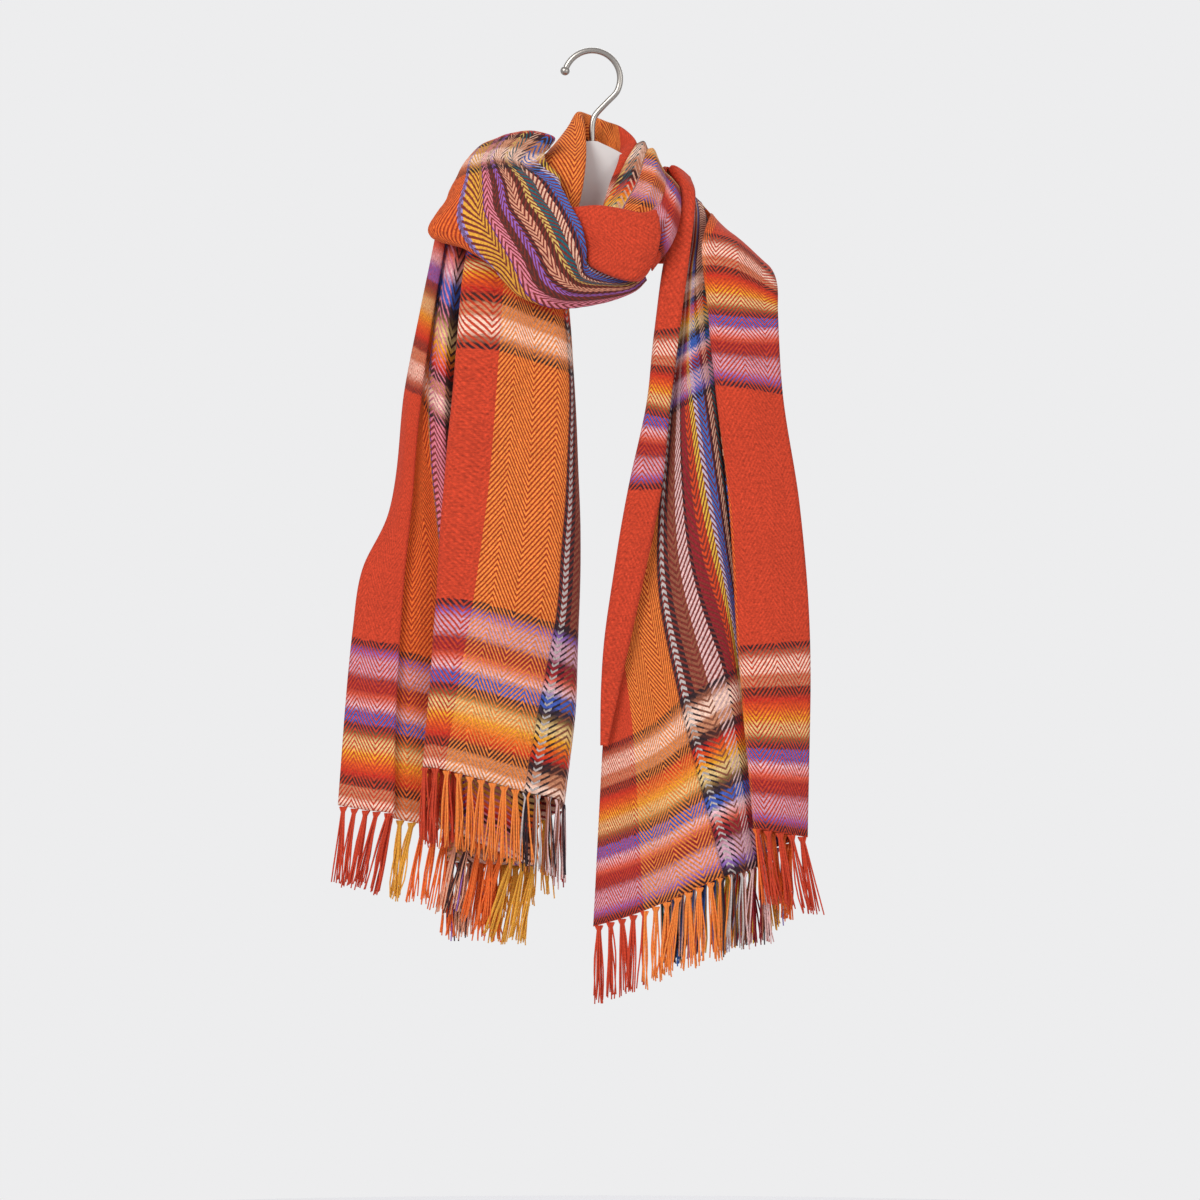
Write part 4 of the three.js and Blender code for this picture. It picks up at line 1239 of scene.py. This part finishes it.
def cloth_passes() -> list[ClothPass]:
    """Lays out the scarf.

    Returns:
        Every stretch that shows, from the left hem to the right one.
    """
    left_along = [LEFT_HEM + station for station in LEFT_STATIONS]
    collar_creases = [Crease([(-34, -110), (-20, -80), (-12, -60)], -1.2, 7)]
    cowl_creases = [
        Crease([(-50, -88), (-44, -100), (-34, -116), (-26, -130)], -4.0, 5.5),
        Crease([(-112, -104), (-116, -120), (-108, -140), (-92, -166)], -2.6, 4.0),
        Crease([(-78, -108), (-66, -130), (-44, -160), (-16, -188)], -1.8, 6.0),
        Crease([(-96, -112), (-86, -134), (-62, -170), (-36, -196)], -2.2, 6.0),
        Crease([(-62, -104), (-52, -124), (-30, -150), (-8, -176)], 1.8, 7.0),
        Crease([(-84, -78), (-66, -88), (-46, -84)], -2.4, 5.0),
    ]
    cowl_ridges = Ridges((216, 234, 252, 271, 296, 320, 348, 378, 420), 3.0, (950, 1000, 1105, 1165))
    panel_creases = [
        Crease([(104, -190), (122, -206), (140, -212), (160, -204)], 2.2, 9.0),
        Crease([(100, -222), (126, -238), (156, -236)], -1.6, 9.0),
    ]
    return [
        ClothPass("left_end", left_lines(), LEFT_ACROSS, [left_along] * len(LEFT_FOLDS),
                  Held.FOLDED, Slot.ORANGE, ["cowl_front_cloth"], spacing=4.2, sway=0.7, tucks=(5,)),
        ClothPass("neck_collar", turned(COLLAR_SECTIONS), turned(COLLAR_ACROSS), [COLLAR_ALONG] * 5,
                  Held.DRAPED, Slot.ORANGE, ["hanger_body"], creases=collar_creases, spacing=2.5),
        ClothPass("neck_right_folds", turned(RIGHT_FOLD_SECTIONS), RIGHT_FOLD_ACROSS,
                  turned(RIGHT_FOLD_ALONG), Held.FOLDED, Slot.STRIPED, ["neck_collar_cloth"],
                  spacing=2.0, tucks=(2, 4)),
        ClothPass("neck_turn", turned(TURN_SECTIONS), [TURN_ACROSS] * 5, TURN_ALONG,
                  Held.FOLDED, Slot.RED, ["cowl_front_cloth"], spacing=2.5),
        ClothPass("cowl_front", turned(COWL_SECTIONS), turned(COWL_ACROSS), [COWL_ALONG] * 7,
                  Held.DRAPED, Slot.STRIPED, ["neck_collar_cloth"], creases=cowl_creases, spacing=2.0,
                  ridges=cowl_ridges),
        ClothPass("neck_back", turned(BACK_SECTIONS), turned(BACK_ACROSS), turned(BACK_ALONG),
                  Held.DRAPED, Slot.ORANGE, ["cowl_front_cloth"], spacing=3.0),
        ClothPass("right_end", RIGHT_LINES, RIGHT_ACROSS, [RIGHT_ALONG] * 7,
                  Held.HUNG, Slot.ORANGE, ["neck_back_cloth"]),
        ClothPass("right_flap", FLAP_LINES, FLAP_ACROSS, [FLAP_ALONG] * 4,
                  Held.FOLDED, Slot.RED, ["right_end_cloth"], spacing=3.0),
        ClothPass("right_panel", PANEL_LINES, PANEL_ACROSS, [PANEL_ALONG] * 4,
                  Held.HUNG, Slot.RED, ["neck_back_cloth"], creases=panel_creases),
        ClothPass("right_pleat", PLEAT_LINES, PLEAT_ACROSS, [PLEAT_ALONG] * 10,
                  Held.FOLDED, Slot.STRIPED, ["right_end_cloth"], spacing=4.5),
    ]


# Round pieces


MOSTLY_ALONG_Y = 0.9


def tube(path: np.ndarray, radii: np.ndarray, sides: int) -> tuple[np.ndarray, np.ndarray]:
    """Sweeps a ring along a path and closes both ends.

    Args:
        path: places along the middle.
        radii: the radius at each place.
        sides: how many sides the ring has.

    Returns:
        The vertex places and the faces, four numbers to each.
    """
    tangents = np.gradient(path, axis=0)
    tangents /= np.linalg.norm(tangents, axis=1, keepdims=True)
    side = np.eye(3)[1 if abs(tangents[0][1]) < MOSTLY_ALONG_Y else 0]
    angles = np.arange(sides) * 2 * np.pi / sides
    rings = []
    for middle, tangent, radius in zip(path, tangents, radii):
        side = side - tangent * (side @ tangent)
        side /= np.linalg.norm(side)
        other = np.cross(tangent, side)
        rings.append(middle + radius * (np.cos(angles)[:, None] * side + np.sin(angles)[:, None] * other))
    places = np.concatenate(rings)
    count = len(path)
    numbers = np.arange(count * sides).reshape(count, sides)
    following = np.roll(numbers, -1, axis=1)
    walls = np.stack([numbers[:-1], following[:-1], following[1:], numbers[1:]], axis=-1).reshape(-1, 4)
    caps = []
    for ring, flip in ((numbers[0], True), (numbers[-1], False)):
        for i in range(1, sides - 2, 2):
            quad = [ring[0], ring[i], ring[i + 1], ring[i + 2]]
            caps.append(quad[::-1] if flip else quad)
    return places, np.concatenate([walls, np.array(caps)])


# Up to each X, the place across the cloth whose colour the left end's hidden layers take
LEFT_YARNS = [(-166, 480), (-146, 362), (-117, 425), (-99, 290), (-75, 425), (-40, 362)]
# Between these places across the cloth the stripes are narrow, and a yarn's colour strays
MIXED_FROM, MIXED_TO = 132.0, 340.0
# A yarn's stations as shares of its length, how full it is at each, and the share where the knot holds it
YARN_STATIONS = (0.0, 0.04, 0.07, 0.12, 0.25, 0.42, 0.6, 0.8, 1.0)
YARN_FULLNESS = np.array([1.0, 1.25, 1.35, 1.05, 1.0, 1.0, 1.0, 0.95, 0.8])
KNOT = 0.07


@dataclass
class Fringe:
    """Knotted bunches of loose yarns below one stretch of a hem.

    The bunches sweep aside by a share of their length. Tints give, up to each X, the place across the cloth
    whose colour the yarns take where a hidden layer's yarns hang there. The half widths of a bunch at the
    hem, the knot and the tips are root, neck and spread. Thickness is half its thickness at the hem and what
    it gains by the tips. Swells and cut_shares are the ranges of a bunch's spread and of a yarn's length.
    Mix and stray are how far the colour wanders inside a bunch, in order and at random.
    """

    name: str
    slot: Slot = Slot.YARN
    bunch_spacing: float = 10.0
    yarns: int = 9
    sides: int = 5
    length: float = 66.0
    yarn_radius: float = 0.72
    root: float = 3.6
    neck: float = 1.2
    spread: float = 5.4
    flare: float = 0.75
    thickness: tuple[float, float] = (1.0, 2.2)
    swells: tuple[float, float] = (0.75, 1.2)
    cut_shares: tuple[float, float] = (0.9, 1.02)
    tip_scatter: float = 1.1
    lean: float = 0.06
    curl: float = 1.3
    wobble: float = 0.8
    sweep: float = 0.0
    mix: float = 0.45
    stray: float = 9.0
    tints: Sequence[tuple[float, float]] = ()
    seed: int = 1

    def _knots(self, hem: np.ndarray) -> list[tuple[np.ndarray, np.ndarray, float]]:
        """Finds the bunches.

        Args:
            hem: rows of x, y, z and the place across the cloth.

        Returns:
            Each bunch's place on the hem, its direction along the hem and its place across the cloth.
        """
        steps = np.linalg.norm(np.diff(hem[:, :3], axis=0), axis=1)
        reached = np.concatenate([[0.0], np.cumsum(steps)])
        count = max(2, round(reached[-1] / self.bunch_spacing))
        knots = []
        for mark in (np.arange(count) + 0.5) * reached[-1] / count:
            behind, here, ahead = (
                np.array([np.interp(mark + shift, reached, column) for column in hem.T])
                for shift in (-2, 0, 2)
            )
            direction = (ahead - behind)[:3] * (1, 1, 0)
            knots.append((here[:3], direction / max(np.linalg.norm(direction), TINY), float(here[3])))
        return knots

    def build(self, hem: np.ndarray, material: bpy.types.Material) -> bpy.types.Object:
        """Builds every bunch as one mesh.

        Args:
            hem: rows of x, y, z and the place across the cloth.
            material: the yarn's material.

        Returns:
            The new piece.
        """
        random = np.random.default_rng(self.seed)
        places, faces, uv = [], [], []
        total = 0
        for place, direction, across in self._knots(hem):
            lean = random.normal(self.sweep, self.lean)
            tint = next((own for end, own in self.tints if place[0] < end), across)
            swell = random.uniform(*self.swells)
            for n in range(self.yarns):
                share = (n + 0.5) / self.yarns * 2 - 1
                path = self._yarn(place, direction, share, lean, swell, random)
                ring, quads = tube(path, self.yarn_radius * YARN_FULLNESS, self.sides)
                stray = random.normal(0, self.stray) if MIXED_FROM < tint < MIXED_TO else 0.0
                own = tint + share * self.bunch_spacing * self.mix + stray
                own = float(np.clip(own, 1, CLOTH_WIDTH - 1))
                reach = np.repeat(np.linspace(0, self.length, len(path)), self.sides)
                places.append(ring)
                faces.append(quads + total)
                uv.append(np.stack([np.full(len(ring), own), reach], axis=-1))
                total += len(ring)
        parts = [np.concatenate(rows) for rows in (places, faces, uv)]
        return hand_over(build_mesh(f"{self.name}_yarns", *parts, material), self.name)

    def _yarn(self, place: np.ndarray, direction: np.ndarray, share: float, lean: float, swell: float,
              random: np.random.Generator) -> np.ndarray:
        """Draws one yarn: in from the hem to the knot, then out to its own tip.

        Args:
            place: the bunch's place on the hem.
            direction: the direction along the hem.
            share: the yarn's place in the bunch, from -1 to 1.
            lean: how far the bunch leans, as a share of its length.
            swell: how far the bunch spreads, about 1.
            random: where the yarn's own unevenness comes from.

        Returns:
            The path's places.
        """
        forward = np.cross(direction, [0.0, 0.0, 1.0])
        depth = random.uniform(-1, 1)
        length = self.length * random.uniform(*self.cut_shares)
        tip = share * self.spread * swell + random.normal(0, self.tip_scatter)
        curl = random.normal(0, self.curl)
        phase = random.uniform(0, 6.28)
        path = []
        for t in YARN_STATIONS:
            if t < KNOT:
                out = share * (self.root - (self.root - self.neck) * t / KNOT)
            else:
                held = share * self.neck
                out = held + (tip - held) * ((t - KNOT) / (1 - KNOT)) ** self.flare
            out += curl * math.sin(phase + 5 * t) * t
            back = depth * (self.thickness[0] + self.thickness[1] * t)
            back += self.wobble * math.cos(phase + 4 * t) * t
            hang = np.array([lean * length * t, 0.0, -0.4 - length * t])
            path.append(place + direction * out + forward * back + hang)
        return np.array(path)


@dataclass
class Hanger:
    """The plain hanger: a white body with drooping arms, and a wire hook with a ball end.

    Droop and bow are the slope and the bend of the arms, whose ends are rounded over tip. Within neck_half
    of the middle the top edge has its own bend and lies neck_sink below the top. The wire's foot stands
    foot_gap above the socket's end.
    """

    wire: float = 2.6
    hook: float = 24.0
    hook_angles: tuple[float, float] = (164, -30)
    knob: float = 4.0
    depth: float = 14.0
    half: float = 125.0
    top: float = -76.5
    droop: float = 0.36
    bow: float = 0.0045
    height: float = 66.0
    socket: float = 18.0
    tip: float = 10.0
    neck_half: float = 8.0
    neck_bow: float = 0.02
    neck_sink: float = 0.9
    foot_gap: float = 0.3
    rounding: float = 2.6
    sharp_angle: float = 50.0
    sides: int = 20
    arc_steps: int = 17
    arm_steps: int = 57
    tip_steps: int = 10

    def build_hook(self, material: bpy.types.Material) -> bpy.types.Object:
        """Sweeps the hook's wire and joins its ball end.

        Args:
            material: the wire's material.

        Returns:
            The new piece.
        """
        centre = -(self.hook - self.wire)
        angles = np.radians(np.linspace(*self.hook_angles, self.arc_steps))
        arc = np.stack([self.hook * np.cos(angles), 0 * angles, centre + self.hook * np.sin(angles)], axis=-1)
        foot = self.top - self.socket + self.foot_gap
        shank = np.array([(x, 0, z) for x, z in ((11, -43.5), (2.6, -53), (0.3, -60), (0, -76), (0, foot))])
        path = smooth(np.concatenate([arc, shank])[:, None, :], 4)[:, 0, :]
        places, faces = tube(path, np.full(len(path), self.wire), self.sides)
        ball, ball_faces = self._ball(arc[0])
        faces = np.concatenate([faces, ball_faces + len(places)])
        places = np.concatenate([places, ball])
        piece = build_mesh("hook_wire", places, faces, places[:, [0, 2]], material)
        return hand_over(piece, "hanger_hook")

    def _ball(self, middle: np.ndarray) -> tuple[np.ndarray, np.ndarray]:
        """Makes the ball end as a tube whose radii follow a circle.

        Args:
            middle: the ball's middle.

        Returns:
            Its vertex places and faces.
        """
        angles = np.radians(np.linspace(-88, 88, self.arc_steps))
        path = middle + np.stack([0 * angles, 0 * angles, self.knob * np.sin(angles)], axis=-1)
        return tube(path, self.knob * np.cos(angles), self.sides)

    def build_body(self, material: bpy.types.Material) -> bpy.types.Object:
        """Builds the hanger's body as an outline with rounded edges and arm ends.

        Args:
            material: the body's material.

        Returns:
            The new piece.
        """
        turn = np.linspace(0, math.pi / 2, self.tip_steps)[1:]
        end = self.half - self.tip * (1 - np.sin(turn))
        straight = np.linspace(self.tip - self.half, self.half - self.tip, self.arm_steps)
        x = np.concatenate([-end[::-1], straight, end])
        inset = self.tip * (1 - np.cos(turn))
        inset = np.concatenate([inset[::-1], np.zeros(len(straight)), inset])
        upper = self.top - self.droop * np.abs(x) - self.bow * x * x
        upper = np.where(np.abs(x) < self.neck_half, self.top - self.neck_bow * x * x - self.neck_sink, upper)
        lower = self.top - self.height - self.bow * x * x + inset
        upper = upper - inset
        outline = np.concatenate([np.stack([x, upper], axis=-1), np.stack([x, lower], axis=-1)[::-1]])
        count = len(outline)
        front = np.insert(outline, 1, -self.depth / 2, axis=1)
        back = np.insert(outline, 1, self.depth / 2, axis=1)
        mesh = bpy.data.meshes.new("hanger_shell")
        ring = np.arange(count)
        following = np.roll(ring, -1)
        sides = np.stack([ring, ring + count, following + count, following], axis=-1).tolist()
        faces = [ring[::-1].tolist(), (ring + count).tolist()] + sides
        mesh.from_pydata((np.concatenate([front, back]) * MM).tolist(), [], faces)
        mesh.materials.append(material)
        mesh.shade_smooth()
        piece = link("hanger_shell", mesh)
        bevel = piece.modifiers.new("rounded_edges", "BEVEL")
        bevel.width = self.rounding * MM
        bevel.segments = 4
        bevel.limit_method = "ANGLE"
        bevel.angle_limit = math.radians(self.sharp_angle)
        return hand_over(piece, "hanger_body")


@dataclass
class Studio:
    """The camera, the soft lights, the pale surroundings and the floor."""

    distance: float = 7.0
    frame_width: float = 1.02
    centre: tuple[float, float] = (0.0068, -0.4675)
    cloth_plane: float = -0.045
    floor_level: float = -1.06
    floor_radius: float = 1.15
    floor_sides: int = 96
    target: tuple[float, float, float] = (0.0, 0.0, -0.42)
    surround: Srgb = Srgb(237, 237, 238)
    skylight: Srgb = Srgb(250, 250, 255)
    sky_strength: float = 0.52

    def build(self) -> None:
        """Builds the whole setting."""
        self._camera()
        self._lights()
        self._world()
        self._floor()
        view = bpy.context.scene.view_settings
        view.view_transform = "Standard"
        view.look = "None"

    def _camera(self) -> None:
        """Places the camera straight in front, far enough away for the photograph's flat view."""
        lens = bpy.data.cameras.new("camera")
        lens.sensor_width = 36.0
        lens.lens = lens.sensor_width * self.distance / self.frame_width
        lens.clip_end = 60.0
        camera = link("camera", lens)
        camera.location = (self.centre[0], self.cloth_plane - self.distance, self.centre[1])
        camera.rotation_euler = (math.radians(90), 0, 0)
        bpy.context.scene.camera = camera

    def _lights(self) -> None:
        """Adds a large key light at the upper left and weaker fill lights."""
        for name, place, size, power in (
            ("key_light", (-1.5, -2.2, 1.1), 1.5, 46.0),
            ("fill_light", (1.9, -2.0, 0.1), 2.0, 16.0),
            ("rear_light", (0.3, 2.4, 0.9), 2.0, 26.0),
        ):
            light = bpy.data.lights.new(name, "AREA")
            light.shape = "DISK"
            light.size = size
            light.energy = power
            lamp = link(name, light)
            lamp.location = place
            lamp.rotation_euler = (Vector(self.target) - lamp.location).to_track_quat("-Z", "Y").to_euler()

    def _world(self) -> None:
        """Makes the pale surroundings, which light the object less than they look."""
        world = bpy.data.worlds.new("surroundings")
        bpy.context.scene.world = world
        world.use_nodes = True
        graph = Graph(world.node_tree)
        seen = graph.add("ShaderNodeBackground", {}, {"Color": self.surround.linear(), "Strength": 1.0})
        light = {"Color": self.skylight.linear(), "Strength": self.sky_strength}
        lit = graph.add("ShaderNodeBackground", {}, light)
        rays = graph.add("ShaderNodeLightPath")
        sources = {0: rays.outputs[0], 1: lit.outputs[0], 2: seen.outputs[0]}
        both = graph.add("ShaderNodeMixShader", {}, sources)
        graph.add("ShaderNodeOutputWorld", {}, {0: both.outputs[0]})

    def _floor(self) -> None:
        """Lays a round floor below the object."""
        angles = np.arange(self.floor_sides) * 2 * np.pi / self.floor_sides
        ring = np.stack([np.cos(angles), np.sin(angles)], axis=-1) * self.floor_radius
        mesh = bpy.data.meshes.new("floor")
        places = [(x, y, self.floor_level) for x, y in ring.tolist()]
        mesh.from_pydata(places, [], [list(range(self.floor_sides))])
        mesh.materials.append(PaleFloor("pale_floor").material())
        link("floor", mesh)


def fringe_plan(passes: dict[str, ClothPass]) -> list[tuple[Fringe, np.ndarray, str]]:
    """Shares the hems out among the fringe pieces.

    Args:
        passes: the cloth by name, already laid.

    Returns:
        Each fringe, its stretch of hem and the name of the cloth that it grows from.
    """
    left = passes["left_end"].hem()
    per_fold = (len(left) - 1) / (len(LEFT_FOLDS) - 1)
    rear, front = (round(fold * per_fold) for fold in LEFT_PARTINGS)
    plan = [
        (Fringe("left_fringe_back", seed=3, sweep=-0.2, tints=LEFT_YARNS), left[:rear], "left_end"),
        (Fringe("left_fringe_rear", seed=5, sweep=-0.05, tints=LEFT_YARNS), left[rear:front], "left_end"),
        (Fringe("left_fringe_front", seed=7), left[front:], "left_end"),
    ]
    for part, seed, sweep in (("end", 11, 0.0), ("panel", 13, 0.12), ("pleat", 17, 0.0)):
        source = f"right_{part}"
        plan.append((Fringe(f"right_fringe_{part}", seed=seed, sweep=sweep), passes[source].hem(), source))
    return plan


def main() -> None:
    """Builds the scene in order and reports each piece."""
    logging.basicConfig(level=logging.INFO, format="%(name)s: %(message)s")
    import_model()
    Studio().build()
    hanger = Hanger()
    report(hanger.build_hook(STEEL.material()))
    report(hanger.build_body(WHITE.material()))
    woven = WovenPlaid("woven_plaid").material()
    passes = {cloth.name: cloth for cloth in cloth_passes()}
    for cloth in passes.values():
        report(cloth.build(woven))
    yarn = FringeYarn("fringe_yarn").material()
    grown: dict[str, list[bpy.types.Object]] = {name: [] for name in passes}
    for fringe, hem, source in fringe_plan(passes):
        piece = fringe.build(hem, yarn)
        grown[source].append(piece)
        report(piece)
    for cloth in passes.values():
        cloth.declare(grown[cloth.name])


if __name__ == "__main__":
    main()
